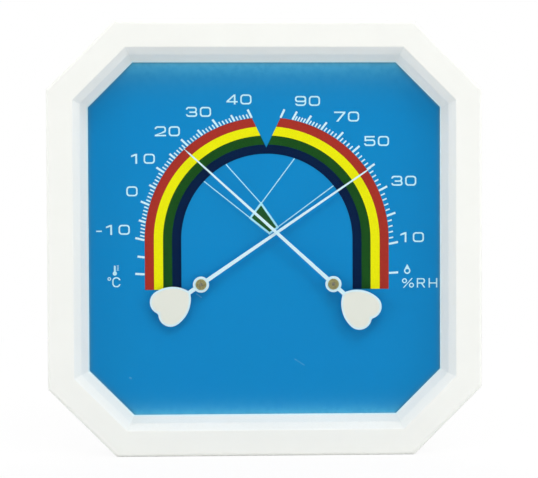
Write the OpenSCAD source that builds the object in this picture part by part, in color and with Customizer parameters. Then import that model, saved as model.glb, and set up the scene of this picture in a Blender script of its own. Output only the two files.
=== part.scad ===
// Octagonal wall thermo-hygrometer: a white framed case, a printed dial and two sensor movements.
// Millimetres. +X to the right and +Z up as seen from the front, which faces -Y.
// The origin is the middle of the keyhole slot's top end, on the plane of the wall.

/* [Case] */
// Width and height across the flats of the frame
case_w = 230; // [215:1:245]
// Depth from the wall to the front face
case_depth = 30; // [28.5:0.5:34]
// Length that each corner takes off a side
corner_cut = 36; // [30:1:40]
// Wall of the frame's skirt
wall = 2.5; // [2:0.1:3]
// Wall of the frame's front face
face_t = 2.4; // [2:0.1:3]
// Width of the flat front face, from the outside to the window's lip
face_w = 14.3; // [13.5:0.1:16]
// Rounding of the outer front edge
edge_r = 2; // [1:0.1:2.2]
// Rounding of the window's front edge
lip_r = 0.8; // [0.4:0.1:1.2]
// How far the lip draws in over its depth
lip_slope = 2.9; // [2:0.1:3.5]
// Radius of the bosses that take the screws
boss_r = 3.4; // [3:0.1:3.6]

/* [Glass and surround] */
// Thickness of the glass
glass_t = 2; // [1.6:0.1:2.2]
// Width of the glass's edge that the lip covers
glass_seat = 1.8; // [1.5:0.1:2.5]
// Gap round the glass's edge
glass_gap = 0.4; // [0.2:0.1:0.6]
// Depth of the surround between the glass and the dial
surround_depth = 7; // [6.8:0.1:7.5]
// How far the surround draws in over its depth
surround_slope = 2.9; // [2:0.1:3.5]
// Wall of the surround
surround_t = 1.6; // [1.2:0.1:2]

/* [Dial] */
// Thickness of the dial sheet
dial_t = 0.8; // [0.5:0.1:1]
// Thickness of the printed colours
print_t = 0.12; // [0.08:0.01:0.2]
// Sideways place of the print on the dial
print_x = 1.1; // [-1.5:0.1:1.5]
// Upward place of the print on the dial
print_z = -0.4; // [-1.5:0.1:1.5]
// Distance from the outermost coloured band to the dial's visible edge
band_margin = 29.12; // [28:0.01:31]
// Width of one coloured band
band_w = 4.87; // [4:0.01:5]
// How far the straight legs of the bands reach below the arbors
band_leg_past = 2.8; // [1:0.1:5]
// Length of a long scale mark
long_mark = 5; // [4:0.1:5.5]
// Length of a middle scale mark
middle_mark = 3.8; // [3:0.1:4]
// Length of a short scale mark
short_mark = 2.4; // [1.5:0.1:2.8]
// Width of the long and middle marks
mark_w = 1.1; // [0.8:0.1:1.2]
// Width of a short mark
short_mark_w = 0.75; // [0.5:0.05:0.9]
// Height of the numerals
digit_h = 5.35; // [5:0.05:6]
// Width of a numeral
digit_w = 6; // [5:0.1:6.4]
// Stroke of the numerals
digit_stroke = 0.8; // [0.7:0.05:1.2]
// Distance from one numeral to the next
digit_pitch = 7.4; // [7:0.1:8]
// Height of the degree sign's C
degree_h = 5.4; // [4.6:0.1:5.6]
// Height of the letters of relative humidity
percent_h = 5.1; // [4.6:0.1:5.1]
// Width of the zone's white border
zone_edge = 1.1; // [0.8:0.05:1.3]
// Width of the thin rays of the comfort zone
ray_w = 0.55; // [0.4:0.05:0.7]

/* [Scales] */
// Distance of the arbors in from the inner edge of the bands' legs
pivot_in = 10.55; // [9:0.05:12]
// Height above the bands' inner edge at which the ends of the two scales meet
meet_rise = 3.25; // [1:0.05:4.5]
// Temperature that the hand shows at rest
temp_reading = 18.6; // [-20:0.1:40]
// Relative humidity that the hand shows at rest
humidity_reading = 39.6; // [0:0.1:100]
// Lowest temperature of the comfort zone
comfort_cool = 15; // [12:0.5:18]
// Highest temperature of the comfort zone
comfort_warm = 24.5; // [22:0.5:28]
// Highest temperature of the comfort zone at its dry end
comfort_warm_dry = 22; // [20:0.5:24]
// Lowest humidity of the comfort zone
comfort_dry = 43; // [40:1:50]
// Highest humidity of the comfort zone
comfort_damp = 72.5; // [65:0.5:80]

/* [Hands] */
// Thickness of a hand
hand_t = 0.5; // [0.4:0.05:0.6]
// How far the temperature hand reaches past the bands' outer edge
temp_hand_past = 7.07; // [0:0.01:9]
// How far the humidity hand reaches past the bands' outer edge
humidity_hand_past = 9.57; // [0:0.01:11]
// Width of a hand at its hub
hand_root_w = 2.2; // [1.8:0.1:2.4]
// Width of a hand near its tip
hand_tip_w = 0.8; // [0.7:0.1:1.2]
// Length of a hand's pointed tip
hand_tip_l = 4; // [2:0.5:6]
// Radius of the round plate of a hand's hub
hub_r = 4.3; // [4:0.1:4.6]
// Height of the humidity hand above the dial
low_hand_rise = 2.5; // [2.4:0.1:2.6]
// Step from the humidity hand to the temperature hand
hand_step = 1.5; // [1.4:0.05:1.6]
// Radius of each lobe of the heart-shaped counterweight
lobe_r = 6.5; // [6:0.1:7]
// Distance from the arbor to the middle of the lobes
lobe_reach = 22.5; // [21:0.1:24]
// Sideways distance of each lobe from the hand's line
lobe_side = 4; // [3.5:0.1:4.5]
// Radius of the counterweight's curved flanks
flank_r = 16.5; // [14:0.5:20]

/* [Movement] */
// Radius of the arbors
arbor_r = 1; // [0.9:0.05:1.1]
// Radius of the arbors' rear pivots
pivot_r = 0.6; // [0.5:0.05:0.7]
// Radial clearance of every turning fit
run_gap = 0.03; // [0.02:0.01:0.08]
// Radial clearance of a pressed or clamped piece
fixed_gap = 0.02; // [0.01:0.01:0.03]
// Thickness of the carrier plate behind the dial
carrier_t = 1.5; // [1.2:0.1:1.8]
// Height of the carrier plate
carrier_h = 34; // [32:1:38]
// Thickness of the rear bridges
bridge_t = 1; // [0.8:0.1:1.2]
// Distance of a pillar from its arbor
pillar_reach = 16; // [15:0.5:18]
// Radius of the pillars
pillar_r = 2; // [1.8:0.1:2.4]
// Width of the sensor strips
strip_w = 4.4; // [4:0.1:4.6]
// Thickness of the sensor strips
strip_t = 0.4; // [0.3:0.05:0.5]
// Turns of the bimetal coil
temp_turns = 5; // [4:1:5]
// Turns of the moisture coil
humidity_turns = 4; // [3:1:5]
// Distance between the turns of a coil
turn_pitch = 1.6; // [1.4:0.05:1.7]
// Radius of the collets that hold the coils' inner ends
collet_r = 2.4; // [2.2:0.1:2.6]
// Radius of the studs that hold the coils' outer ends
stud_r = 0.8; // [0.7:0.05:0.9]

/* [Back cover] */
// Thickness of the back cover
cover_t = 2.2; // [2:0.1:2.4]
// How far the cover lies in from the wall plane
cover_inset = 1.1; // [0.9:0.1:1.2]
// Clearance between the cover and the adjusters' rear ends
cover_room = 0.65; // [0.5:0.05:1]
// Height of the keyhole slot's top end above the centre of the frame
hang_h = 84; // [78:0.5:88]
// Radius of the keyhole's entry
key_entry_r = 4.5; // [4.2:0.1:5]
// Half the width of the keyhole's slot
key_slot_r = 2.3; // [2.1:0.1:2.5]
// Distance from the keyhole's entry to the top end of its slot
key_travel = 12; // [11:0.5:14]
// Width of an air slot in the cover
air_slot_w = 3; // [2:0.1:3.6]
// Length of an air slot in the cover
air_slot_l = 34; // [20:1:40]
// Distance from one air slot to the next
air_slot_pitch = 7.5; // [6:0.1:8]
// Air slots in each of the four groups
air_slots = 5; // [3:1:5]

/* [Hidden] */
$fn = 64;

// Octagon of the frame
half_w = case_w / 2;
corner_d = (case_w - corner_cut) / sqrt(2);
side_half = half_w - corner_cut;
corner_half = corner_cut / sqrt(2);

// Heights are counted from the wall plane towards the front: first the cover and the movements.
cover_front = cover_inset + cover_t;
hub_end = cover_front + cover_room;
hub_proud = 0.7;
washer_t = 0.35;
bridge_bottom = hub_end + hub_proud + washer_t;
bridge_top = bridge_bottom + bridge_t;
arm_t = 0.8;
arm_gap = 0.1;
arm_top = bridge_top + arm_gap + arm_t;
hub_flange = 0.4;
hub_top = arm_top + hub_flange;
end_play = 0.3;
collet_bottom = hub_top + end_play;
collet_h = strip_w + 0.4;
collet_top = collet_bottom + collet_h;
bush_flange = 1;
carrier_back = collet_top + end_play + bush_flange;
pivot_end = bridge_top - 0.7;
coil_bottom = collet_bottom + 0.2;

// Heights of the dial, the glass and the hands
dial_back = carrier_back + carrier_t;
dial_front = dial_back + dial_t;
glass_back = dial_front + surround_depth;
glass_front = glass_back + glass_t;
face_z = case_depth - face_t;
low_hand_z = dial_front + low_hand_rise;
high_hand_z = low_hand_z + hand_step;

// Insets are counted inwards from the frame's outside.
lip_in = face_w + lip_slope;
glass_inset = lip_in - glass_seat;
nest_in = glass_inset - glass_gap;
nest_t = 1.6;
nest_over = 0.2;
surround_front_in = lip_in + 0.3;
dial_edge_in = surround_front_in + surround_slope;
ledge_inset = 10.5;
glass_ledge_t = 1.4;
slope_wall = 2.6;
dial_inset = ledge_inset + 0.2;
rebate_wall = wall - 0.9;
cover_inset_side = rebate_wall + 0.2;

// Screws: shank, head radius, head height and length
screw_r = 1.4;
screw_head_r = 2.7;
screw_head_h = 1.7;
screw_l = 8;
dial_screw_l = 5;
thread_gap = 0.05;
hole_gap = 0.2;
sink_r = 3;
small_screw_r = 1;
small_head_r = 1.9;
small_head_h = 1.1;
small_screw_l = 4;
boss_bite = 0.4;
boss_in = wall + boss_r - boss_bite;
surround_screw_side = 50;
dial_screw_side = 60;
dial_boss_r = 2.6;
dial_boss_h = 4.4;
dial_boss_in = ledge_inset + 3;

// Bands, from the outside in, and what is placed from them
temp_low = -20;
temp_high = 40;
band_top = half_w - dial_edge_in - band_margin;
band_r = band_top - 4 * band_w;
pivot_x = band_r - pivot_in;
pivot_z = band_r + meet_rise - 2 * pivot_x / (1 / tan(temp_angle(temp_high)) + 1 / tan(humidity_angle(100)));
band_leg = band_leg_past - pivot_z;
temp_hand_l = pivot_x + band_top + temp_hand_past;
humidity_hand_l = pivot_x + band_top + humidity_hand_past;
temp_pivot = [pivot_x, pivot_z];
humidity_pivot = [-pivot_x, pivot_z];
mark_gap = 0.15;

// Movement
bush_rise = 0.6;
bush_r = 2.2;
bush_flange_r = 3.5;
dial_hole_r = 2.6;
hub_body_r = 2.3;
hub_flange_r = 3.4;
boss_flange_t = 0.4;
boss_flange_r = 2.9;
boss_sleeve_r = 1.8;
boss_tail = 0.7;
arbor_proud = 0.15;
coil_gap = 0.05;
stud_gap = 0.1;
coil_start = collet_r + coil_gap + strip_t / 2;
temp_coil_out = coil_start + temp_turns * turn_pitch;
humidity_coil_out = coil_start + humidity_turns * turn_pitch;
temp_stud_reach = temp_coil_out + strip_t / 2 + stud_gap + stud_r;
humidity_stud_reach = humidity_coil_out + strip_t / 2 + stud_gap + stud_r;
coil_steps = 30;

// Angle of a temperature on its scale, above the line from the right arbor to the left one
function temp_angle(t) = 3.15 + 1.015 * (t - temp_low);

// Angle of a humidity on its scale, above the line from the left arbor to the right one
function humidity_angle(h) = 3.23 + 0.8973 * h - 0.002866 * h * h;

function temp_way(t) = [-cos(temp_angle(t)), sin(temp_angle(t))];
function humidity_way(h) = [cos(humidity_angle(h)), sin(humidity_angle(h))];

// Distance along a ray from point p in direction d to the circle of radius r round the centre
function to_circle(p, d, r) = -p * d + sqrt((p * d) * (p * d) - p * p + r * r);

// Distance along a ray to the edge of a band of radius r, with its arc above and its leg below
function to_band(p, d, r) =
    let (t = to_circle(p, d, r))
    p[1] + t * d[1] >= 0 ? t : (r + abs(p[0])) / abs(d[0]);

// Point where the ray of a temperature crosses the ray of a humidity
function crossing(t, h) =
    let (a = temp_way(t), b = humidity_way(h), w = humidity_pivot - temp_pivot)
    temp_pivot + a * (w[0] * b[1] - w[1] * b[0]) / (a[0] * b[1] - a[1] * b[0]);

// Places what is drawn flat, with its heights above the wall, on the wall in the part's frame
module in_place() {
    translate([0, 0, -hang_h]) rotate([90, 0, 0]) children();
}

// Places a piece of a movement on its arbor's axis
module on_arbor(p) {
    translate([print_x + p[0], print_z + p[1], 0]) children();
}

// Corners of the frame's octagon at an inset, counter-clockwise from the lower right
function octagon_points(inset) =
    let (a = half_w - inset, b = (corner_d - inset) * sqrt(2) - a)
    [[a, -b], [a, b], [b, a], [-b, a], [-a, b], [-a, -b], [-b, -a], [b, -a]];

// Points along an arc, in profile or in plan
function arc(centre, r, from, to, steps) =
    [for (k = [0 : steps]) let (a = from + (to - from) * k / steps) centre + r * [cos(a), sin(a)]];

module octagon(inset) {
    polygon(octagon_points(inset));
}

// Runs a closed profile, whose points are inset and height, round the octagon with mitred corners
module octagon_ring(profile) {
    count = len(profile);
    polyhedron(
        points = [for (p = profile, q = octagon_points(p[0])) [q[0], q[1], p[1]]],
        faces = [
            for (j = [0 : count - 1], k = [0 : 7])
                let (m = (j + 1) % count, n = (k + 1) % 8)
                [j * 8 + k, m * 8 + k, m * 8 + n, j * 8 + n]
        ]
    );
}

// Two places beside the middle of each main side, at an inset from the outside
module beside_sides(side, inset) {
    for (k = [0 : 3], s = [-1, 1]) rotate(90 * k) translate([half_w - inset, s * side, 0]) children();
}

module at_corners(inset) {
    for (k = [0 : 3]) rotate(45 + 90 * k) translate([corner_d - inset, 0, 0]) children();
}

// Two places on the top side and two on the bottom side, at an inset from the outside
module top_and_bottom(side, inset) {
    for (x = [-1, 1], y = [-1, 1]) translate([x * side, y * (half_w - inset), 0]) children();
}

// The four places where the carrier plate is screwed down
module at_carrier_ends() {
    for (x = [-1, 1], y = [-1, 1])
        translate([x * (half_w - dial_boss_in), print_z + pivot_z + y * (carrier_h / 2 - 5), 0])
            children();
}

// Screw with its head behind the plane z = 0, its shank towards the front and a crossed recess
module screw(head_r, head_h, shank_r, length) {
    difference() {
        union() {
            translate([0, 0, -head_h]) cylinder(r1 = head_r * 0.7, r2 = head_r, h = head_h);
            translate([0, 0, -head_h * 0.2]) cylinder(r = shank_r, h = length + head_h * 0.2);
        }
        for (a = [0, 90]) rotate(a) translate([-head_r * 0.5, -head_h * 0.2, -head_h - 0.1])
            cube([head_r, head_h * 0.4, head_h * 0.6 + 0.1]);
    }
}

// Straight slot with round ends
module slot(length, width) {
    square([length - width, width], center = true);
    for (s = [-1, 1]) translate([s * (length - width) / 2, 0]) circle(d = width);
}

// Profile of the frame: skirt, rounded edge, flat face, lip over the glass and nest round the glass
function bezel_profile() = concat(
    [[0, 0]],
    arc([edge_r, case_depth - edge_r], edge_r, 180, 90, 8),
    arc([face_w - lip_r, case_depth - lip_r], lip_r, 90, 30, 5),
    [
        [lip_in, glass_front], [nest_in, glass_front], [nest_in, glass_back - nest_over],
        [nest_in - nest_t, glass_back - nest_over], [nest_in - nest_t, face_z],
        [wall, face_z], [wall, cover_front], [rebate_wall, cover_front], [rebate_wall, 0]
    ]
);

module bezel() {
    boss_top = face_z + 0.2;
    surround_tab = dial_front + surround_t;
    cover_hole = 16;
    surround_hole = 8;
    air_w = 16;
    air_h = 1;
    color("whitesmoke") in_place() difference() {
        union() {
            octagon_ring(bezel_profile());
            at_corners(boss_in) translate([0, 0, cover_front])
                cylinder(r = boss_r, h = boss_top - cover_front);
            beside_sides(surround_screw_side, boss_in) translate([0, 0, surround_tab])
                cylinder(r = boss_r, h = boss_top - surround_tab);
        }
        at_corners(boss_in) translate([0, 0, -1]) cylinder(r = screw_r + thread_gap, h = cover_hole);
        beside_sides(surround_screw_side, boss_in) translate([0, 0, surround_tab - 1])
            cylinder(r = screw_r + thread_gap, h = surround_hole);
        for (k = [0 : 3], s = [-1, 1]) rotate(90 * k)
            translate([half_w - wall - 1, s * side_half / 2 - air_w / 2, -1])
                cube([wall + 2, air_w, 1 + air_h]);
    }
}

module glass() {
    color([0.85, 0.93, 0.95, 0.25]) in_place()
        translate([0, 0, glass_back]) linear_extrude(glass_t) octagon(glass_inset);
}

// Profile of the surround: edge under the glass, sloping wall and ledge for the dial
function surround_profile() = [
    [glass_inset, glass_back], [surround_front_in, glass_back],
    [dial_edge_in, dial_front], [ledge_inset, dial_front],
    [ledge_inset, dial_front + surround_t], [dial_edge_in - slope_wall, dial_front + surround_t],
    [glass_inset + 1.1, glass_back - glass_ledge_t], [glass_inset, glass_back - glass_ledge_t]
];

module surround() {
    tab_w = 12;
    color("white") in_place() difference() {
        union() {
            octagon_ring(surround_profile());
            for (k = [0 : 3], s = [-1, 1]) rotate(90 * k)
                translate([half_w - ledge_inset - 1, s * surround_screw_side - tab_w / 2, dial_front])
                    cube([ledge_inset - wall, tab_w, surround_t]);
            top_and_bottom(dial_screw_side, dial_boss_in) translate([0, 0, dial_front])
                cylinder(r = dial_boss_r, h = dial_boss_h);
            at_carrier_ends() translate([0, 0, dial_front]) cylinder(r = dial_boss_r, h = dial_boss_h);
        }
        beside_sides(surround_screw_side, boss_in) translate([0, 0, dial_front - 1])
            cylinder(r = screw_r + hole_gap, h = surround_t + 2);
        top_and_bottom(dial_screw_side, dial_boss_in) translate([0, 0, dial_front - 1])
            cylinder(r = screw_r + thread_gap, h = dial_boss_h);
        at_carrier_ends() translate([0, 0, dial_front - 1])
            cylinder(r = screw_r + thread_gap, h = dial_boss_h);
    }
}

module surround_screws() {
    color("silver") in_place() beside_sides(surround_screw_side, boss_in)
        translate([0, 0, dial_front]) screw(screw_head_r, screw_head_h, screw_r, screw_l);
}

module dial_plate() {
    color([0.06, 0.52, 0.74]) in_place() translate([0, 0, dial_back]) linear_extrude(dial_t)
        difference() {
            octagon(dial_inset);
            on_arbor(temp_pivot) circle(r = dial_hole_r);
            on_arbor(humidity_pivot) circle(r = dial_hole_r);
            top_and_bottom(dial_screw_side, dial_boss_in) circle(r = screw_r + hole_gap);
            at_carrier_ends() circle(r = screw_r + hole_gap);
        }
}

module dial_screws() {
    color("silver") in_place() top_and_bottom(dial_screw_side, dial_boss_in)
        translate([0, 0, dial_back]) screw(screw_head_r, screw_head_h, screw_r, dial_screw_l - dial_t);
}

// Lays a flat drawing as ink on the dial, round the centre of the bands
module ink() {
    in_place() translate([print_x, print_z, dial_front]) linear_extrude(print_t) children();
}

// Blue wedge between the end of the temperature scale and the end of the humidity scale
module top_wedge() {
    apex = crossing(temp_high, 100);
    polygon([apex, apex + 40 * humidity_way(100), apex + 40 * temp_way(temp_high)]);
}

module band(number) {
    inner = band_r + number * band_w;
    outer = inner + band_w;
    difference() {
        union() {
            circle(r = outer);
            translate([-outer, -band_leg]) square([2 * outer, band_leg]);
        }
        circle(r = inner);
        translate([-inner, -outer - 1]) square([2 * inner, outer + 1]);
        translate([-outer - 1, -outer - 1]) square([2 * outer + 2, outer + 1 - band_leg]);
        top_wedge();
    }
}

module red_band() {
    color([0.68, 0.2, 0.17]) ink() band(3);
}

module yellow_band() {
    color([0.94, 0.93, 0.02]) ink() band(2);
}

module green_band() {
    color([0.13, 0.37, 0.13]) ink() band(1);
}

module navy_band() {
    color([0.02, 0.14, 0.34]) ink() band(0);
}

// Straight stroke from one point to another
module stroke(from, to, width) {
    way = to - from;
    translate(from) rotate(atan2(way[1], way[0])) translate([0, -width / 2])
        square([norm(way), width]);
}

// Scale mark that starts outside the bands and points to its arbor
module mark(pivot, way, length, width) {
    start = to_band(pivot, way, band_top) + mark_gap;
    stroke(pivot + start * way, pivot + (start + length) * way, width);
}

// Long marks at each ten, middle marks at each five and short marks from -10 up at each degree
module temp_marks() {
    for (t = [temp_low : temp_high]) {
        if (t % 10 == 0) mark(temp_pivot, temp_way(t), long_mark, mark_w);
        else if (t % 5 == 0) mark(temp_pivot, temp_way(t), middle_mark, mark_w);
        else if (t > -10) mark(temp_pivot, temp_way(t), short_mark, short_mark_w);
    }
}

// Long marks at each ten and short marks from 10 to 90 at every second percent
module humidity_marks() {
    for (h = [0 : 2 : 100]) {
        if (h % 10 == 0) mark(humidity_pivot, humidity_way(h), long_mark, mark_w);
        else if (h > 10 && h < 90) mark(humidity_pivot, humidity_way(h), short_mark, short_mark_w);
    }
}

module scale_marks() {
    color("white") ink() {
        temp_marks();
        humidity_marks();
    }
}

// Filled box with round corners, from one corner point to the opposite one
module round_box(from, to, r) {
    size = to - from;
    translate(from) {
        translate([r, 0]) square([size[0] - 2 * r, size[1]]);
        translate([0, r]) square([size[0], size[1] - 2 * r]);
        for (x = [r, size[0] - r], y = [r, size[1] - r]) translate([x, y]) circle(r = r);
    }
}

// Outline of a box with round corners
module loop(from, to, r, width) {
    inner_r = min(r - width * 0.8, (to[1] - from[1]) * 0.48 - width);
    difference() {
        round_box(from, to, r);
        round_box(from + [width, width], to - [width, width], inner_r);
    }
}

// One wide numeral from 0 to 9 in a cell of digit_w by digit_h, with the ones that the scales need
module digit(n) {
    w = digit_w;
    h = digit_h;
    s = digit_stroke;
    r = h * 0.32;
    q = h * 0.26;
    mid = h * 0.54;
    if (n == 0) loop([0, 0], [w, h], r, s);
    if (n == 1) {
        translate([w * 0.5, 0]) square([s * 1.15, h]);
        polygon([[w * 0.5, h], [w * 0.5, h - s * 1.3], [w * 0.12, h - s * 2.3], [w * 0.12, h - s * 1.2]]);
    }
    if (n == 2) {
        intersection() {
            loop([0, h * 0.34], [w, h], q, s);
            union() {
                translate([0, h * 0.72]) square([w, h]);
                translate([w * 0.7, h * 0.4]) square([w, h]);
            }
        }
        polygon([[w - s * 0.9, h * 0.5], [w - s * 0.3, h * 0.4], [s * 1.5, s * 0.9], [0, s * 0.9]]);
        square([w, s]);
    }
    if (n == 3) {
        difference() {
            union() {
                loop([0, mid - s], [w * 0.97, h], q, s);
                loop([0, 0], [w, mid], q, s);
            }
            translate([-1, h * 0.27]) square([1 + w * 0.3, h * 0.46]);
        }
    }
    if (n == 4) {
        translate([w * 0.66, 0]) square([s * 1.1, h]);
        translate([0, h * 0.2]) square([w, s * 0.9]);
        polygon([
            [0, h * 0.2 + s * 0.9], [w * 0.66, h],
            [w * 0.66, h - s * 1.25], [s * 1.6, h * 0.2 + s * 0.9]
        ]);
    }
    if (n == 5) {
        translate([w * 0.04, h - s]) square([w * 0.9, s]);
        translate([w * 0.04, h * 0.5]) square([s, h * 0.5]);
        difference() {
            loop([0, 0], [w, h * 0.66], q, s);
            translate([-1, h * 0.27]) square([1 + s * 1.1, h * 0.22]);
        }
    }
    if (n == 7) {
        translate([0, h - s]) square([w, s]);
        polygon([[w * 0.16, 0], [w * 0.16 + s * 1.5, 0], [w, h - s], [w - s * 1.5, h - s]]);
    }
    if (n == 9) {
        loop([0, h * 0.38], [w, h], q, s);
        difference() {
            loop([0, 0], [w, h], r, s);
            translate([-1, h * 0.24]) square([1 + w * 0.7, h]);
        }
    }
}

// Width of a number written with a count of digits
function number_w(count) = digit_pitch * (count - 1) + digit_w;

// A number whose lower left corner is at the origin
module number(value) {
    tens = floor(abs(value) / 10);
    if (tens > 0) digit(tens);
    translate([tens > 0 ? digit_pitch : 0, 0]) digit(abs(value) % 10);
    if (value < 0)
        translate([-digit_w * 0.75, digit_h * 0.3]) square([digit_w * 0.5, digit_stroke * 0.8]);
}

// End of a long mark
function mark_end(pivot, way) = pivot + way * (to_band(pivot, way, band_top) + mark_gap + long_mark);

// Temperatures that are written, each with the step from its mark's end to the number's near side
// in numeral heights
temp_numbers = [
    [-10, [-0.55, 0.83]], [0, [-0.31, 1.01]], [10, [-0.15, 0.87]],
    [20, [-0.12, 0.81]], [30, [-0.14, 0.77]], [40, [0.39, 1.01]]
];

// Humidities that are written, in the same way
humidity_numbers = [
    [10, [0.12, 0.48]], [30, [0.44, 0.56]], [50, [0.47, 0.5]], [70, [0.75, 0.58]], [90, [-0.19, 1.06]]
];

module numerals() {
    color("white") ink() {
        for (n = temp_numbers)
            translate(mark_end(temp_pivot, temp_way(n[0])) + n[1] * digit_h
                - [number_w(n[0] == 0 ? 1 : 2), digit_h / 2]) number(n[0]);
        for (n = humidity_numbers)
            translate(mark_end(humidity_pivot, humidity_way(n[0])) + n[1] * digit_h - [0, digit_h / 2])
                number(n[0]);
    }
}

// Degree sign and C, both of one height
module degree_c(h) {
    stroke_w = h * 0.12;
    translate([0, h * 0.83]) difference() {
        circle(r = h * 0.176);
        circle(r = h * 0.083);
    }
    translate([h * 0.3, 0]) difference() {
        loop([0, 0], [h * 0.81, h], h * 0.37, stroke_w);
        translate([h * 0.59, h * 0.3]) square([h * 0.37, h * 0.4]);
    }
}

// Percent sign and the two letters of relative humidity
module percent_rh(h) {
    stroke_w = h * 0.13;
    ring_r = h * 0.265;
    for (p = [[ring_r, h - ring_r], [h, ring_r]]) translate(p) difference() {
        circle(r = ring_r);
        circle(r = ring_r * 0.56);
    }
    stroke([h * 0.16, 0], [h * 1.08, h], stroke_w * 0.75);
    translate([h * 1.57, 0]) {
        square([stroke_w, h]);
        difference() {
            loop([0, h * 0.42], [h * 0.86, h], h * 0.255, stroke_w);
            translate([-h, 0]) square([h * 1.2, h]);
        }
        translate([0, h * 0.42]) square([h * 0.3, stroke_w]);
        translate([0, h - stroke_w]) square([h * 0.3, stroke_w]);
        stroke([h * 0.51, h * 0.45], [h * 0.82, 0], stroke_w);
    }
    translate([h * 2.82, 0]) {
        square([stroke_w, h]);
        translate([h * 0.785, 0]) square([stroke_w, h]);
        translate([0, h * 0.42]) square([h * 0.86, stroke_w]);
    }
}

// Plain sign of a thermometer
module thermometer_sign(h) {
    bulb_r = h * 0.21;
    tube_w = h * 0.18;
    translate([0, bulb_r]) circle(r = bulb_r);
    translate([-tube_w / 2, bulb_r]) square([tube_w, h - bulb_r - tube_w / 2]);
    translate([0, h - tube_w / 2]) circle(d = tube_w);
    for (k = [0 : 2]) translate([h * 0.2, h * (0.52 + 0.2 * k)]) square([h * 0.21, h * 0.074]);
}

// Plain sign of a drop of water
module drop_sign(h) {
    drop_r = h * 0.32;
    difference() {
        union() {
            translate([0, drop_r]) circle(r = drop_r);
            polygon([[-drop_r * 0.905, drop_r * 1.42], [0, h], [drop_r * 0.905, drop_r * 1.42]]);
        }
        translate([0, drop_r]) circle(r = drop_r * 0.58);
    }
}

module unit_signs() {
    sign_h = digit_h;
    temp_at = [mark_end(temp_pivot, temp_way(temp_low))[0] - 2.05 * digit_h, pivot_z];
    humidity_at = [mark_end(humidity_pivot, humidity_way(0))[0] + digit_h * 0.39, pivot_z];
    color("white") ink() {
        translate(temp_at - [degree_h * 0.55, degree_h * 0.24]) degree_c(degree_h);
        translate(temp_at + [0, degree_h * 0.92]) thermometer_sign(sign_h);
        translate(humidity_at - [0, percent_h * 0.45]) percent_rh(percent_h);
        translate(humidity_at + [percent_h * 0.55, percent_h]) drop_sign(sign_h);
    }
}

// The comfort zone lies between two humidity rays, a temperature ray and a warm side
// that leans from the ray of one temperature to that of another.
warm_top = crossing(comfort_warm, comfort_damp);
warm_foot = crossing(comfort_warm_dry, comfort_dry);
cool_top = crossing(comfort_cool, comfort_damp);

module comfort_area() {
    polygon([warm_top, cool_top, crossing(comfort_cool, comfort_dry), warm_foot]);
}

// Thin line from a corner of the zone to the innermost band
module comfort_ray(corner, way) {
    stroke(corner, corner + way * (to_circle(corner, way, band_r) - mark_gap), ray_w);
}

// Border of the zone and the rays from its corners to the innermost band
module comfort_strokes() {
    difference() {
        offset(delta = zone_edge / 2) comfort_area();
        offset(delta = -zone_edge / 2) comfort_area();
    }
    comfort_ray(warm_top, temp_way(comfort_warm));
    comfort_ray(cool_top, temp_way(comfort_cool));
    comfort_ray(warm_top, humidity_way(comfort_damp));
    comfort_ray(warm_foot, humidity_way(comfort_dry));
}

module comfort_zone() {
    color([0.13, 0.37, 0.13]) ink() offset(delta = -zone_edge / 2) comfort_area();
}

module comfort_lines() {
    color("white") ink() comfort_strokes();
}

module carrier_plate() {
    window = [20, 12];
    window_margin = 4;
    color("silver") in_place() translate([0, 0, carrier_back]) linear_extrude(carrier_t)
        difference() {
            translate([-half_w + ledge_inset + 0.5, print_z + pivot_z - carrier_h / 2])
                square([2 * (half_w - ledge_inset - 0.5), carrier_h]);
            for (p = [temp_pivot, humidity_pivot]) on_arbor(p) {
                circle(r = bush_r + fixed_gap);
                for (s = [-1, 1]) translate([s * pillar_reach, 0]) circle(r = pillar_r * 0.6 + fixed_gap);
            }
            at_carrier_ends() circle(r = screw_r + hole_gap);
            for (x = [-1, 1]) translate([x * half_w * 0.63, print_z + pivot_z]) slot(window[0], window[1]);
            on_arbor([0, pivot_z]) slot(2 * (pivot_x - pillar_reach - window_margin), window[1]);
        }
}

module carrier_screws() {
    color("silver") in_place() at_carrier_ends() translate([0, 0, carrier_back])
        screw(screw_head_r, screw_head_h, screw_r, dial_screw_l + carrier_t - dial_t);
}

module front_bushes() {
    color([0.75, 0.6, 0.3]) in_place() for (p = [temp_pivot, humidity_pivot]) on_arbor(p)
        difference() {
            union() {
                translate([0, 0, carrier_back - bush_flange]) {
                    cylinder(r = bush_flange_r, h = bush_flange);
                    cylinder(r = bush_r, h = bush_flange + carrier_t + bush_rise);
                }
            }
            translate([0, 0, carrier_back - bush_flange - 1])
                cylinder(r = arbor_r + run_gap, h = carrier_t + bush_flange + bush_rise + 2);
        }
}

// Places on both sides of each arbor, where its pillars stand
module at_pillars() {
    for (p = [temp_pivot, humidity_pivot], s = [-1, 1]) on_arbor(p)
        translate([s * pillar_reach, 0, 0]) children();
}

module bridge_pillars() {
    color([0.75, 0.6, 0.3]) in_place() at_pillars() difference() {
        translate([0, 0, bridge_top]) {
            cylinder(r = pillar_r, h = carrier_back - bridge_top);
            cylinder(r = pillar_r * 0.6, h = carrier_back - bridge_top + carrier_t);
        }
        translate([0, 0, bridge_top - 1]) cylinder(r = small_screw_r + thread_gap, h = small_screw_l + 1);
    }
}

module bridge_screws() {
    color("silver") in_place() at_pillars() translate([0, 0, bridge_bottom])
        screw(small_head_r, small_head_h, small_screw_r, small_screw_l + bridge_t - 0.5);
}

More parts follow.
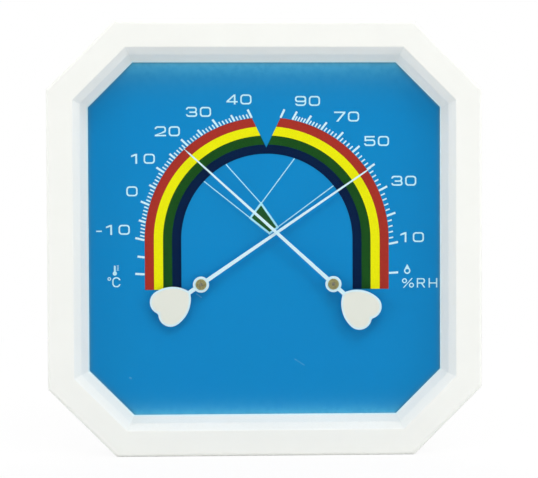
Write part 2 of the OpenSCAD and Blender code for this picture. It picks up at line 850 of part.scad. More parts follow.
module bridge(p) {
    bridge_margin = 1.5;
    eye_margin = 4;
    color("silver") in_place() on_arbor(p) translate([0, 0, bridge_bottom])
        linear_extrude(bridge_t) difference() {
            union() {
                square([2 * pillar_reach, 2 * (pillar_r + bridge_margin)], center = true);
                for (s = [-1, 1]) translate([s * pillar_reach, 0]) circle(r = pillar_r + bridge_margin);
                circle(r = hub_body_r + eye_margin);
            }
            circle(r = hub_body_r + run_gap);
            for (s = [-1, 1]) translate([s * pillar_reach, 0]) circle(r = small_screw_r + hole_gap);
        }
}

module temp_bridge() {
    bridge(temp_pivot);
}

module humidity_bridge() {
    bridge(humidity_pivot);
}

// Arm that points down from its hub and carries the stud of the coil's outer end
module adjuster_arm(p, reach) {
    arm_w = 4;
    color("silver") in_place() on_arbor(p) translate([0, 0, arm_top - arm_t])
        linear_extrude(arm_t) difference() {
            union() {
                circle(r = hub_flange_r + 1);
                translate([-arm_w / 2, -reach]) square([arm_w, reach]);
                translate([0, -reach]) circle(d = arm_w);
            }
            circle(r = hub_body_r + fixed_gap);
            translate([0, -reach]) circle(r = stud_r * 0.75 + fixed_gap);
        }
}

module temp_adjuster_arm() {
    adjuster_arm(temp_pivot, temp_stud_reach);
}

module humidity_adjuster_arm() {
    adjuster_arm(humidity_pivot, humidity_stud_reach);
}

// Slotted hub that turns in the bridge and carries the arbor's rear pivot
module adjuster_hub(p) {
    slot_w = 0.9;
    slot_h = 0.5;
    color([0.75, 0.6, 0.3]) in_place() on_arbor(p) difference() {
        union() {
            translate([0, 0, arm_top]) cylinder(r = hub_flange_r, h = hub_flange);
            translate([0, 0, hub_end]) cylinder(r = hub_body_r, h = hub_top - hub_end);
        }
        translate([0, 0, pivot_end - 0.2]) cylinder(r = pivot_r + run_gap, h = case_depth);
        translate([-hub_body_r - 1, -slot_w / 2, hub_end - 1]) cube([2 * hub_body_r + 2, slot_w, 1 + slot_h]);
    }
}

module temp_adjuster_hub() {
    adjuster_hub(temp_pivot);
}

module humidity_adjuster_hub() {
    adjuster_hub(humidity_pivot);
}

// Spring washer on the hub behind the bridge, which gives the adjuster its friction
module adjuster_washer(p) {
    washer_r = 3.8;
    color("dimgray") in_place() on_arbor(p) translate([0, 0, bridge_bottom - washer_t - 0.05])
        linear_extrude(washer_t) difference() {
            circle(r = washer_r);
            circle(r = hub_body_r + fixed_gap);
        }
}

module temp_adjuster_washer() {
    adjuster_washer(temp_pivot);
}

module humidity_adjuster_washer() {
    adjuster_washer(humidity_pivot);
}

// Stud riveted in the arm, beside the last turn of the coil
module coil_stud(p, reach) {
    color([0.75, 0.6, 0.3]) in_place() on_arbor(p) translate([0, -reach, 0]) {
        translate([0, 0, arm_top]) cylinder(r = stud_r, h = coil_bottom + strip_w - arm_top);
        translate([0, 0, arm_top - arm_t]) cylinder(r = stud_r * 0.75, h = arm_t + stud_r);
    }
}

module temp_coil_stud() {
    coil_stud(temp_pivot, temp_stud_reach);
}

module humidity_coil_stud() {
    coil_stud(humidity_pivot, humidity_stud_reach);
}

// Arbor from the middle of its hand's boss back to its rear pivot
module arbor(p, top) {
    color("lightgray") in_place() on_arbor(p) {
        translate([0, 0, collet_bottom]) cylinder(r = arbor_r, h = top - collet_bottom);
        translate([0, 0, pivot_end]) cylinder(r = pivot_r, h = collet_top - pivot_end);
    }
}

module temp_arbor() {
    arbor(temp_pivot, high_hand_z + hand_t + boss_flange_t + arbor_proud);
}

module humidity_arbor() {
    arbor(humidity_pivot, low_hand_z + hand_t + boss_flange_t + arbor_proud);
}

module collet(p) {
    color([0.75, 0.6, 0.3]) in_place() on_arbor(p) translate([0, 0, collet_bottom])
        difference() {
            cylinder(r = collet_r, h = collet_h);
            translate([0, 0, -1]) cylinder(r = arbor_r + fixed_gap, h = collet_h + 2);
            translate([arbor_r, -0.3, strip_w * 0.6]) cube([collet_r, 0.6, collet_h]);
        }
}

module temp_collet() {
    collet(temp_pivot);
}

module humidity_collet() {
    collet(humidity_pivot);
}

// Spiral strip from the collet to the stud below the arbor, wound to the left or to the right
module coil(p, turns, hand) {
    steps = turns * coil_steps;
    function radius(k) = coil_start + turn_pitch * k / coil_steps;
    function spot(k, side) =
        let (a = -90 - 360 * (steps - k) / coil_steps)
        (radius(k) + side * strip_t / 2) * [hand * cos(a), sin(a)];
    in_place() on_arbor(p) translate([0, 0, coil_bottom]) linear_extrude(strip_w)
        polygon(concat(
            [for (k = [0 : steps]) spot(k, 1)],
            [for (k = [steps : -1 : 0]) spot(k, -1)]
        ));
}

module bimetal_coil() {
    color([0.6, 0.6, 0.62]) coil(temp_pivot, temp_turns, 1);
}

module moisture_coil() {
    color([0.8, 0.7, 0.5]) coil(humidity_pivot, humidity_turns, -1);
}

// Flat outline of a hand that points to the right, with its round hub and its heart-shaped weight
module hand_outline(length) {
    flank_side = lobe_side + lobe_r - flank_r;
    shoulder = length - hand_tip_l;
    difference() {
        union() {
            polygon([
                [0, -hand_root_w / 2], [shoulder, -hand_tip_w / 2], [length, 0],
                [shoulder, hand_tip_w / 2], [0, hand_root_w / 2]
            ]);
            circle(r = hub_r);
            translate([-lobe_reach, -hand_root_w / 2]) square([lobe_reach, hand_root_w]);
            intersection() {
                translate([-lobe_reach, flank_side]) circle(r = flank_r);
                translate([-lobe_reach, -flank_side]) circle(r = flank_r);
                translate([-lobe_reach, -2 * lobe_r]) square([lobe_reach, 4 * lobe_r]);
            }
            for (s = [-1, 1]) translate([-lobe_reach, s * lobe_side]) circle(r = lobe_r);
        }
        circle(r = boss_sleeve_r + fixed_gap);
    }
}

module temp_pointer() {
    color("ivory") in_place() on_arbor(temp_pivot) rotate(180 - temp_angle(temp_reading))
        translate([0, 0, high_hand_z]) linear_extrude(hand_t) hand_outline(temp_hand_l);
}

module humidity_pointer() {
    color("ivory") in_place() on_arbor(humidity_pivot) rotate(humidity_angle(humidity_reading))
        translate([0, 0, low_hand_z]) linear_extrude(hand_t) hand_outline(humidity_hand_l);
}

// Brass boss riveted through a hand, with its flange in front
module pointer_boss(p, z) {
    color([0.75, 0.6, 0.3]) in_place() on_arbor(p) difference() {
        union() {
            translate([0, 0, z + hand_t]) cylinder(r = boss_flange_r, h = boss_flange_t);
            translate([0, 0, z - boss_tail])
                cylinder(r = boss_sleeve_r, h = boss_tail + hand_t + boss_flange_t);
        }
        translate([0, 0, z - boss_tail - 1]) cylinder(r = arbor_r + fixed_gap, h = case_depth);
    }
}

module temp_pointer_boss() {
    pointer_boss(temp_pivot, high_hand_z);
}

module humidity_pointer_boss() {
    pointer_boss(humidity_pivot, low_hand_z);
}

module key_outline() {
    translate([0, hang_h - key_travel]) circle(r = key_entry_r);
    translate([-key_slot_r, hang_h - key_travel]) square([2 * key_slot_r, key_travel]);
    translate([0, hang_h]) circle(r = key_slot_r);
}

module back_cover() {
    pad = 1.2;
    pad_margin = 4;
    pad_w = 2 * (key_entry_r + pad_margin);
    access_r = 3;
    air_slot_rise = 20;
    air_slot_drop = 57.5;
    color("whitesmoke") in_place() difference() {
        union() {
            translate([0, 0, cover_inset]) linear_extrude(cover_t) octagon(cover_inset_side);
            translate([-pad_w / 2, hang_h - key_travel - key_entry_r - pad_margin, cover_front])
                cube([pad_w, key_travel + key_entry_r + key_slot_r + 2 * pad_margin, pad]);
        }
        translate([0, 0, cover_inset - 1]) linear_extrude(cover_t + pad + 2) key_outline();
        translate([0, 0, cover_inset - 1]) linear_extrude(cover_t + 2) {
            for (p = [temp_pivot, humidity_pivot]) on_arbor(p) circle(r = access_r);
            for (x = [-1, 1], k = [0 : air_slots - 1]) {
                translate([x * half_w * 0.5, air_slot_rise + k * air_slot_pitch])
                    slot(air_slot_l, air_slot_w);
                translate([x * half_w * 0.42, -air_slot_drop - k * air_slot_pitch])
                    slot(air_slot_l, air_slot_w);
            }
        }
        at_corners(boss_in) translate([0, 0, cover_inset]) {
            translate([0, 0, -1]) cylinder(r = screw_r + hole_gap, h = cover_t + 2);
            cylinder(r1 = sink_r + hole_gap, r2 = screw_r + hole_gap, h = sink_r - screw_r);
        }
    }
}

// Countersunk screws of the back cover, flush with it
module cover_screws() {
    recess_l = 2.8;
    recess_w = 0.6;
    recess_depth = 0.8;
    color("silver") in_place() at_corners(boss_in) translate([0, 0, cover_inset]) difference() {
        union() {
            cylinder(r1 = sink_r, r2 = screw_r, h = sink_r - screw_r);
            translate([0, 0, recess_depth]) cylinder(r = screw_r, h = screw_l + cover_t - recess_depth);
        }
        for (a = [0, 90]) rotate(a) translate([-recess_l / 2, -recess_w / 2, -1])
            cube([recess_l, recess_w, 1 + recess_depth]);
    }
}

bezel();
glass();
surround();
surround_screws();
dial_plate();
dial_screws();
red_band();
yellow_band();
green_band();
navy_band();
scale_marks();
numerals();
unit_signs();
comfort_zone();
comfort_lines();
carrier_plate();
carrier_screws();
front_bushes();
bridge_pillars();
bridge_screws();
temp_bridge();
humidity_bridge();
temp_adjuster_arm();
temp_adjuster_hub();
temp_adjuster_washer();
temp_coil_stud();
humidity_adjuster_arm();
humidity_adjuster_hub();
humidity_adjuster_washer();
humidity_coil_stud();
temp_arbor();
temp_pointer();
temp_pointer_boss();
temp_collet();
bimetal_coil();
humidity_arbor();
humidity_pointer();
humidity_pointer_boss();
humidity_collet();
moisture_coil();
back_cover();
cover_screws();
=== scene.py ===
"""Looks of an octagonal wall thermo-hygrometer: a white frame, a glazed blue dial and two hands.

Everything is drawn in plan, in millimetres: x to the right and y up from the middle of the frame, and h
for the height above the wall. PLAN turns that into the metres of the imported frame.
"""
import logging
import math
from dataclasses import dataclass
from enum import Enum
from typing import Any, Sequence

import bmesh
import bpy
from mathutils import Matrix, Vector
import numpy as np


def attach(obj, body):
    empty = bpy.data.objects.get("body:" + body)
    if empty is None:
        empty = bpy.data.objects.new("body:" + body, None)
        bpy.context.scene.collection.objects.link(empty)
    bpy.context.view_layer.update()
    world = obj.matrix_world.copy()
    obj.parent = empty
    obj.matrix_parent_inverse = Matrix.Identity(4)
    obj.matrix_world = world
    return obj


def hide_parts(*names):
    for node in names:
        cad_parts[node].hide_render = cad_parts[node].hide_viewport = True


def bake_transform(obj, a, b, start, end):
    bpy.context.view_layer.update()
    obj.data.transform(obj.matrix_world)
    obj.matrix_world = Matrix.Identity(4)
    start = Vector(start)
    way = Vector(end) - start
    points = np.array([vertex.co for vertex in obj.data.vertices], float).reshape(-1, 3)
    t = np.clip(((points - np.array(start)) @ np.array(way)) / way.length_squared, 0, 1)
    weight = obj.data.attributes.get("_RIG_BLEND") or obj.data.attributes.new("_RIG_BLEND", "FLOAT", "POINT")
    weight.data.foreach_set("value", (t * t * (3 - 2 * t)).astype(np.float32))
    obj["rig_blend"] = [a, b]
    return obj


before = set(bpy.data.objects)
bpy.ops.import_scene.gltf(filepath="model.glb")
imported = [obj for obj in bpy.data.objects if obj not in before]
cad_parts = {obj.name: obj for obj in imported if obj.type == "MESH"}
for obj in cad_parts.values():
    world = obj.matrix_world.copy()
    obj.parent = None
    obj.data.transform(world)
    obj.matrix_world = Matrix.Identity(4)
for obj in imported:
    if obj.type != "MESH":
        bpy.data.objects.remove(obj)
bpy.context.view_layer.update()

LOG = logging.getLogger("thermo_hygrometer")
PER_METRE = 1000
HANG_H = 84.0
ARBOR_Y = -24.4
TEMP_X = 36.55
HUMIDITY_X = -34.35
PLAN = (
    Matrix.Translation((0.0, 0.0, -HANG_H / PER_METRE))
    @ Matrix.Rotation(math.radians(90), 4, "X")
    @ Matrix.Scale(0.001, 4)
)

Colour = tuple[float, float, float]
Spot = tuple[float, float]
Corner = tuple[float, float, float]
Loop = Sequence[Spot]
Socket = bpy.types.NodeSocket


class Body(Enum):
    """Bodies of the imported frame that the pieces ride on."""

    CASE = "case"
    TEMP_ADJUSTER = "temp_adjuster"
    HUMIDITY_ADJUSTER = "humidity_adjuster"
    TEMP_HAND = "temp_hand"
    HUMIDITY_HAND = "humidity_hand"


class Slot(Enum):
    """Material slots of the record."""

    FRAME_WHITE = "frame_white"
    SURROUND_WHITE = "surround_white"
    COVER_WHITE = "cover_white"
    GLASS = "glass"
    DIAL_BLUE = "dial_blue"
    HAND_WHITE = "hand_white"
    BRASS = "brass"
    STEEL = "steel"
    ARBOR_STEEL = "arbor_steel"
    BIMETAL = "bimetal"
    MOISTURE_STRIP = "moisture_strip"


def tone(*display: float) -> Colour:
    """Returns the linear colour of a display colour, given as red, green and blue from 0 to 255."""
    shares = [channel / 255 for channel in display]
    return tuple(c / 12.92 if c <= 0.04045 else ((c + 0.055) / 1.055) ** 2.4 for c in shares)


def dimmed(colour: Colour, *shares: float) -> Colour:
    """Returns a colour times one share, or times one for each channel, held to 1."""
    return tuple(min(channel * share, 1.0) for channel, share in zip(colour, shares * 3))


def in_frame(x: float, y: float) -> Corner:
    """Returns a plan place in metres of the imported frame, on the wall."""
    return x / PER_METRE, 0.0, (y - HANG_H) / PER_METRE


class Graph:
    """Lays out shader nodes in one node tree."""

    def __init__(self, tree: bpy.types.NodeTree) -> None:
        """Starts on a tree."""
        self.tree = tree

    def node(self, kind: str, takes: dict[Any, Any] | None = None, **settings: Any) -> bpy.types.Node:
        """Adds a shader node.

        Args:
            kind: Blender's name of its type, after "ShaderNode".
            takes: Input name or index to a value or to the socket that feeds it.
            settings: The node's own settings.

        Returns:
            The new node.
        """
        node = self.tree.nodes.new("ShaderNode" + kind)
        for name, value in settings.items():
            setattr(node, name, value)
        for key, value in (takes or {}).items():
            self.feed(node.inputs[key], value)
        return node

    def feed(self, socket: Socket, value: Any) -> None:
        """Links or sets one input.

        Args:
            socket: The input.
            value: A socket, a number, a colour of three numbers or a vector.
        """
        if isinstance(value, bpy.types.NodeSocket):
            self.tree.links.new(value, socket)
        elif socket.type == "RGBA":
            socket.default_value = (*value, 1.0)
        else:
            socket.default_value = value

    def math(self, operation: str, *values: Any) -> Socket:
        """Returns the result of a Math node."""
        return self.node("Math", dict(enumerate(values)), operation=operation).outputs[0]

    def vector(self, operation: str, *values: Any) -> Socket:
        """Returns the result of a Vector Math node, which is a number for a length or a dot product."""
        node = self.node("VectorMath", dict(enumerate(values)), operation=operation)
        return node.outputs[int(operation in ("LENGTH", "DOT_PRODUCT"))]

    def blend(self, low: Any, high: Any, mask: Any) -> Socket:
        """Returns the colour between low, where the mask is 0, and high, where it is 1."""
        return self.node("Mix", {0: mask, 6: low, 7: high}, data_type="RGBA").outputs[2]

    def mixed(self, share: Socket, first: bpy.types.Node, second: bpy.types.Node) -> bpy.types.Node:
        """Returns a mix of two shaders, which is the second one where the share is 1."""
        return self.node("MixShader", {0: share, 1: first.outputs[0], 2: second.outputs[0]})

    def span(self, mask: Any, low: float, high: float, start: float = 0.0, end: float = 1.0) -> Socket:
        """Spreads a mask smoothly from low, where it is start or less, to high, where it is end or more."""
        takes = {"Value": mask, "From Min": start, "From Max": end, "To Min": low, "To Max": high}
        return self.node("MapRange", takes, interpolation_type="SMOOTHSTEP").outputs[0]

    def spot(self) -> Socket:
        """Returns the place on the piece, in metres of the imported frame."""
        return self.node("TexCoord").outputs["Object"]

    def normal(self, kind: str = "Normal") -> Socket:
        """Returns the surface's normal."""
        return self.node("NewGeometry").outputs[kind]

    def axes(self, vector: Socket) -> Any:
        """Returns the parts of a vector, by the names X, Y and Z."""
        return self.node("SeparateXYZ", {0: vector}).outputs

    def effect(self, kind: type["Effect"], takes: dict[str, Any] | None = None) -> Any:
        """Places a shared effect, whose group is built on first use, and returns its outputs by name."""
        tree = bpy.data.node_groups.get(kind.__name__) or kind().tree
        return self.node("Group", takes, node_tree=tree).outputs

    def bump(self, height: Socket, depth: float) -> Socket:
        """Returns the normal of a relief with a depth in millimetres."""
        takes = {"Height": height, "Distance": depth / PER_METRE, "Strength": 1.0}
        return self.node("Bump", takes).outputs[0]


class Effect(Graph):
    """A shader node group that several finishes share, with named inputs and outputs."""

    takes: dict[str, Any] = {}
    gives: tuple[str, ...] = ("Mask",)

    def __init__(self) -> None:
        """Opens the group and draws the effect in it."""
        super().__init__(bpy.data.node_groups.new(type(self).__name__, "ShaderNodeTree"))
        for name, default in self.takes.items():
            kind = "NodeSocketVector" if isinstance(default, tuple) else "NodeSocketFloat"
            socket = self.tree.interface.new_socket(name=name, in_out="INPUT", socket_type=kind)
            socket.default_value = default
        for name in self.gives:
            self.tree.interface.new_socket(name=name, in_out="OUTPUT", socket_type="NodeSocketFloat")
        self.inside = self.tree.nodes.new("NodeGroupInput").outputs
        self.out = self.tree.nodes.new("NodeGroupOutput").inputs
        self.draw()

    def draw(self) -> None:
        """Draws the effect."""
        raise NotImplementedError

    def place(self) -> Socket:
        """Returns the place on the piece, in millimetres."""
        return self.vector("MULTIPLY", self.spot(), (1000.0, 1000.0, 1000.0))

    def noise(self, spot: Socket, size: Any, detail: float = 2.0) -> Socket:
        """Returns noise with features of a size in millimetres and with some finer layers."""
        takes = {"Vector": spot, "Scale": self.math("DIVIDE", 1.0, size), "Detail": detail, "Roughness": 0.55}
        return self.node("TexNoise", takes).outputs[0]

    def give(self, **values: Socket) -> None:
        """Feeds the outputs, each under its name in lower case."""
        for name, value in values.items():
            self.feed(self.out[name.capitalize()], value)


class MouldGrain(Effect):
    """Spark-eroded grain of a moulded surface, with slow unevenness in its tone."""

    takes = {"Grain size": 0.25}
    gives = ("Height", "Mottle")
    patch = 19.0

    def draw(self) -> None:
        """Draws cells under fine noise."""
        spot, size = self.place(), self.inside["Grain size"]
        cells = self.node("TexVoronoi", {"Vector": spot, "Scale": self.math("DIVIDE", 0.7, size)}).outputs[0]
        height = self.math("ADD", self.noise(spot, size), self.math("MULTIPLY", cells, 0.5))
        self.give(height=height, mottle=self.noise(spot, self.patch, 3.0))


class EdgeWear(Effect):
    """Mask of the rubbed outer edges, broken up by noise."""

    takes = {"Reach": 0.6, "Amount": 1.0}
    break_up = 1.7

    def draw(self) -> None:
        """Compares the rounded normal with the true one."""
        radius = self.math("DIVIDE", self.inside["Reach"], 1000.0)
        rounded = self.node("Bevel", {"Radius": radius}, samples=4).outputs[0]
        turned = self.math("SUBTRACT", 1.0, self.vector("DOT_PRODUCT", rounded, self.normal()))
        rub = self.span(self.noise(self.place(), self.break_up, 3.0), 0.15, 1.0, 0.35, 0.65)
        edge = self.span(turned, 0.0, 1.0, 0.01, 0.14)
        self.give(mask=self.math("MULTIPLY", self.math("MULTIPLY", edge, rub), self.inside["Amount"]))


class SettledDust(Effect):
    """Mask of the dust that lies on what faces up."""

    takes = {"Amount": 0.3}
    speck = 0.9

    def draw(self) -> None:
        """Draws specks on the upward faces."""
        facing = self.span(self.axes(self.normal())["Z"], 0.0, 1.0, 0.25, 0.9)
        specks = self.span(self.noise(self.place(), self.speck, 4.0), 0.2, 1.0, 0.38, 0.66)
        self.give(mask=self.math("MULTIPLY", self.math("MULTIPLY", facing, specks), self.inside["Amount"]))


class HandlingMarks(Effect):
    """Mask of the faint uneven gloss that wiping leaves."""

    takes = {"Patch size": 16.0}

    def draw(self) -> None:
        """Draws patches that are drawn out upwards."""
        stretched = self.vector("MULTIPLY", self.place(), (1.0, 1.0, 0.45))
        patches = self.noise(stretched, self.inside["Patch size"], 3.0)
        self.give(mask=self.span(patches, 0.0, 1.0, 0.35, 0.68))


class PrintGrain(Effect):
    """Fine unevenness of screen-printed ink and its slow drift in tone."""

    takes = {"Grain size": 0.35}
    gives = ("Height", "Drift")
    drift = 31.0

    def draw(self) -> None:
        """Draws two noises, one fine and one slow."""
        spot = self.place()
        fine = self.noise(spot, self.inside["Grain size"], 3.0)
        self.give(height=fine, drift=self.noise(spot, self.drift))


class TurnedLines(Effect):
    """Fine rings that a lathe leaves round an axis along Y."""

    takes = {"Centre": (0.0, 0.0, 0.0), "Line width": 0.08}
    gives = ("Height", "Mask")
    tarnish = 0.7

    def draw(self) -> None:
        """Draws rings by the distance from the axis."""
        centre = self.vector("MULTIPLY", self.inside["Centre"], (1000.0, 1000.0, 1000.0))
        arm = self.vector("MULTIPLY", self.vector("SUBTRACT", self.place(), centre), (1.0, 0.0, 1.0))
        rings = self.math("DIVIDE", self.vector("LENGTH", arm), self.inside["Line width"])
        takes = {"W": rings, "Scale": 1.0, "Detail": 2.0}
        lines = self.node("TexNoise", takes, noise_dimensions="1D").outputs[0]
        self.give(height=lines, mask=self.noise(self.place(), self.tarnish, 3.0))


class RolledLines(Effect):
    """Long fine lines that rolling or brushing leaves in sheet metal."""

    takes = {"Stretch": (0.05, 1.0, 1.0), "Line width": 0.12}
    gives = ("Height", "Mask")
    patch = 5.0

    def draw(self) -> None:
        """Draws noise that is stretched along the sheet."""
        drawn = self.vector("MULTIPLY", self.place(), self.inside["Stretch"])
        lines = self.noise(drawn, self.inside["Line width"], 3.0)
        self.give(height=lines, mask=self.noise(self.place(), self.patch, 3.0))


class FineScratch(Effect):
    """Mask of one short scratch between two places of the dial."""

    takes = {"Start": (0.0, 0.0, 0.0), "End": (1.0, 0.0, 0.0), "Width": 0.3}
    break_up = 0.8

    def draw(self) -> None:
        """Fades with the distance from the scratch's line."""
        flat = self.vector("MULTIPLY", self.place(), (1.0, 0.0, 1.0))
        reach = self.vector("SUBTRACT", flat, self.inside["Start"])
        way = self.vector("SUBTRACT", self.inside["End"], self.inside["Start"])
        dots = [self.vector("DOT_PRODUCT", arm, way) for arm in (reach, way)]
        held = self.math("MINIMUM", self.math("MAXIMUM", self.math("DIVIDE", *dots), 0.0), 1.0)
        nearest = self.node("VectorMath", {0: way, "Scale": held}, operation="SCALE").outputs[0]
        aside = self.vector("LENGTH", self.vector("SUBTRACT", reach, nearest))
        thin = self.math("DIVIDE", aside, self.inside["Width"])
        broken = self.span(self.noise(self.place(), self.break_up, 3.0), 0.35, 1.0, 0.3, 0.6)
        self.give(mask=self.math("MULTIPLY", self.span(thin, 1.0, 0.0, 0.2, 1.0), broken))


class PaintedRimLightAndShadow(Effect):
    """Masks of painted light near the dial's walls and of a painted shadow line where the dial meets them."""

    takes = {
        "Flat": 94.3, "Slant": 116.5, "Above": 5.4, "Below": 3.2, "Beside": 0.35, "Line": 0.9, "Set back": 0.8
    }
    gives = ("Mask", "Line")
    far = 1000.0
    cloud = 4.0

    def draw(self) -> None:
        """Fades away from the nearest of the eight walls, once for the painted light and once for the painted
        shadow line.
        """
        parts = self.axes(self.vector("ADD", self.place(), (0.0, 0.0, HANG_H)))
        flat, side = self.inside["Flat"], self.math("ABSOLUTE", parts["X"])
        corner = self.math("ADD", side, self.math("ABSOLUTE", parts["Z"]))
        slanted = self.math("MULTIPLY", corner, math.sqrt(0.5))
        gaps = (
            (self.math("SUBTRACT", flat, parts["Z"]), "Above"),
            (self.math("ADD", self.math("ADD", flat, self.inside["Set back"]), parts["Z"]), "Below"),
            (self.math("SUBTRACT", flat, side), "Beside"),
            (self.math("SUBTRACT", self.inside["Slant"], slanted), "Beside"),
        )
        fades = []
        for reach in (None, "Line"):
            nearest = self.far
            for gap, way in gaps:
                share = self.math("DIVIDE", gap, self.inside[reach or way])
                nearest = self.math("MINIMUM", share, nearest)
            held = self.math("MAXIMUM", nearest, 0.0)
            fades.append(self.math("EXPONENT", self.math("MULTIPLY", held, -1.0)))
        # Painted light and shade: the first mask paints pale light near the walls, the second a shadow line
        # in the corner.
        cloudy = self.span(self.noise(self.place(), self.cloud, 3.0), 0.8, 1.0, 0.35, 0.6)
        self.give(mask=self.math("MULTIPLY", fades[0], cloudy), line=fades[1])


class Surface(Graph):
    """The nodes of one material, round its Principled shader."""

    def __init__(self, tree: bpy.types.NodeTree) -> None:
        """Places the shader and the output.

        Args:
            tree: The material's node tree.
        """
        super().__init__(tree)
        self.shader = self.node("BsdfPrincipled")
        self.out = self.node("OutputMaterial").inputs["Surface"]
        self.feed(self.out, self.shader.outputs[0])

    def coat(self, takes: dict[str, Any]) -> None:
        """Feeds the shader's inputs by name."""
        for name, value in takes.items():
            self.feed(self.shader.inputs[name], value)


@dataclass(frozen=True)
class Finish:
    """What a surface is made of; each kind of finish shades itself."""

    name: str
    colour: Colour

    def material(self) -> bpy.types.Material:
        """Builds the material on first use.

        Returns:
            The material.
        """
        ready = bpy.data.materials.get(self.name)
        if ready:
            return ready
        material = bpy.data.materials.new(self.name)
        material.use_nodes = True
        material.node_tree.nodes.clear()
        self.shade(Surface(material.node_tree))
        return material

    def shade(self, graph: Surface) -> None:
        """Sets up the material on its nodes."""
        raise NotImplementedError


@dataclass(frozen=True)
class MouldedPlastic(Finish):
    """Moulded white plastic with a fine grain, rubbed edges and a little dust."""

    worn: Colour
    grain: float = 0.22
    relief: float = 0.012
    roughness: float = 0.42
    dust: float = 0.12
    dust_tone: Colour = tone(206, 203, 196)

    def shade(self, graph: Surface) -> None:
        """Sets up the material.

        Args:
            graph: The material's nodes.
        """
        grain = graph.effect(MouldGrain, {"Grain size": self.grain})
        wear = graph.effect(EdgeWear, {"Reach": 0.5, "Amount": 0.7})
        dust = graph.effect(SettledDust, {"Amount": self.dust})
        marks = graph.effect(HandlingMarks)
        colour = graph.blend(dimmed(self.colour, 0.965), self.colour, grain["Mottle"])
        colour = graph.blend(colour, self.worn, wear["Mask"])
        gloss = graph.span(marks["Mask"], self.roughness, self.roughness + 0.1)
        dull = graph.math("ADD", gloss, graph.math("MULTIPLY", dust["Mask"], 0.4))
        graph.coat({
            "Base Color": graph.blend(colour, self.dust_tone, dust["Mask"]),
            "Roughness": graph.math("SUBTRACT", dull, graph.math("MULTIPLY", wear["Mask"], 0.12)),
            "Normal": graph.bump(grain["Height"], self.relief),
            "IOR": 1.49,
        })


@dataclass(frozen=True)
class PlasticWithPaintedDialLight(MouldedPlastic):
    """Moulded plastic with painted blue light at its foot, standing in for light that the dial beside it
    reflects.
    """

    # Colour of the painted blue light at the foot.
    foot: Colour = (1.0, 1.0, 1.0)
    foot_h: float = 16.0
    foot_reach: float = 1.4

    def shade(self, graph: Surface) -> None:
        """Sets up the material.

        Args:
            graph: The material's nodes.
        """
        super().shade(graph)
        plain = graph.shader.inputs["Base Color"].links[0].from_socket
        foot, top = -self.foot_h / PER_METRE, -(self.foot_h + self.foot_reach) / PER_METRE
        # Painted light: the blue reflected from the dial fades upwards from the foot.
        painted_dial_light_mask = graph.span(graph.axes(graph.spot())["Y"], 1.0, 0.0, foot, top)
        graph.coat({"Base Color": graph.blend(plain, self.foot, painted_dial_light_mask)})


@dataclass(frozen=True)
class ClearGlass(Finish):
    """Clear flat glass, which the light of lamps passes."""

    ior: float = 1.5

    def shade(self, graph: Surface) -> None:
        """Sets up the material.

        Args:
            graph: The material's nodes.
        """
        marks = graph.effect(HandlingMarks, {"Patch size": 24.0})
        graph.coat({
            "Base Color": self.colour,
            "Roughness": graph.span(marks["Mask"], 0.0, 0.012),
            "IOR": self.ior,
            "Transmission Weight": 1.0,
        })
        path = graph.node("LightPath").outputs
        straight = graph.math("MAXIMUM", path["Is Shadow Ray"], path["Is Diffuse Ray"])
        straight = graph.math("MAXIMUM", straight, path["Is Glossy Ray"])
        clear = graph.node("BsdfTransparent", {"Color": self.colour})
        graph.feed(graph.out, graph.mixed(straight, graph.shader, clear).outputs[0])


@dataclass(frozen=True)
class PrintedSheet(Finish):
    """Metal sheet with a printed front; the sides and the back are bare."""

    metal: Colour
    # Colour of painted light near the walls.
    painted_wall_light: Colour
    # Colour of a painted shadow line where the dial meets the walls.
    line: Colour
    scratches: tuple[tuple[Spot, Spot, float], ...]
    scratch_tone: Colour = tone(96, 168, 208)
    sheen: float = 0.11

    def print_colour(self, graph: Surface, grain: Any) -> Socket:
        """Lays out the print's colour, with its scratches, painted light next to the walls and a painted
        shadow line where it meets them.

        Args:
            graph: The material's nodes.
            grain: Outputs of the print's grain.

        Returns:
            The colour.
        """
        blue = graph.blend(dimmed(self.colour, 1.0, 0.93, 0.95), self.colour, grain["Height"])
        blue = graph.blend(blue, dimmed(self.colour, 1.0, 0.94, 1.0), grain["Drift"])
        for (start_x, start_y), (end_x, end_y), width in self.scratches:
            takes = {
                "Start": (start_x, 0.0, start_y - HANG_H),
                "End": (end_x, 0.0, end_y - HANG_H),
                "Width": width,
            }
            scratch = graph.effect(FineScratch, takes)
            blue = graph.blend(blue, self.scratch_tone, graph.math("MULTIPLY", scratch["Mask"], 0.75))
        # Painted light and shade next to the walls: a pale glow and a dark corner line are mixed into the
        # blue.
        rim = graph.effect(PaintedRimLightAndShadow)
        blue = graph.blend(blue, self.painted_wall_light, graph.math("MULTIPLY", rim["Mask"], 0.75))
        return graph.blend(blue, self.line, graph.math("MULTIPLY", rim["Line"], 0.6))

    def shade(self, graph: Surface) -> None:
        """Sets up the material.

        Args:
            graph: The material's nodes.
        """
        front = graph.span(graph.axes(graph.normal("True Normal"))["Y"], 1.0, 0.0, -0.9, -0.7)
        grain = graph.effect(PrintGrain, {"Grain size": 0.7})
        rolled = graph.effect(RolledLines, {"Stretch": (0.04, 1.0, 1.0)})
        metal = graph.blend(dimmed(self.metal, 0.8), self.metal, rolled["Height"])
        graph.coat({
            "Base Color": graph.blend(metal, self.print_colour(graph, grain), front),
            "Metallic": graph.math("SUBTRACT", 1.0, front),
            "Roughness": graph.span(grain["Height"], 0.36, 0.44),
            "Specular IOR Level": self.sheen,
            "Normal": graph.bump(grain["Height"], 0.004),
        })


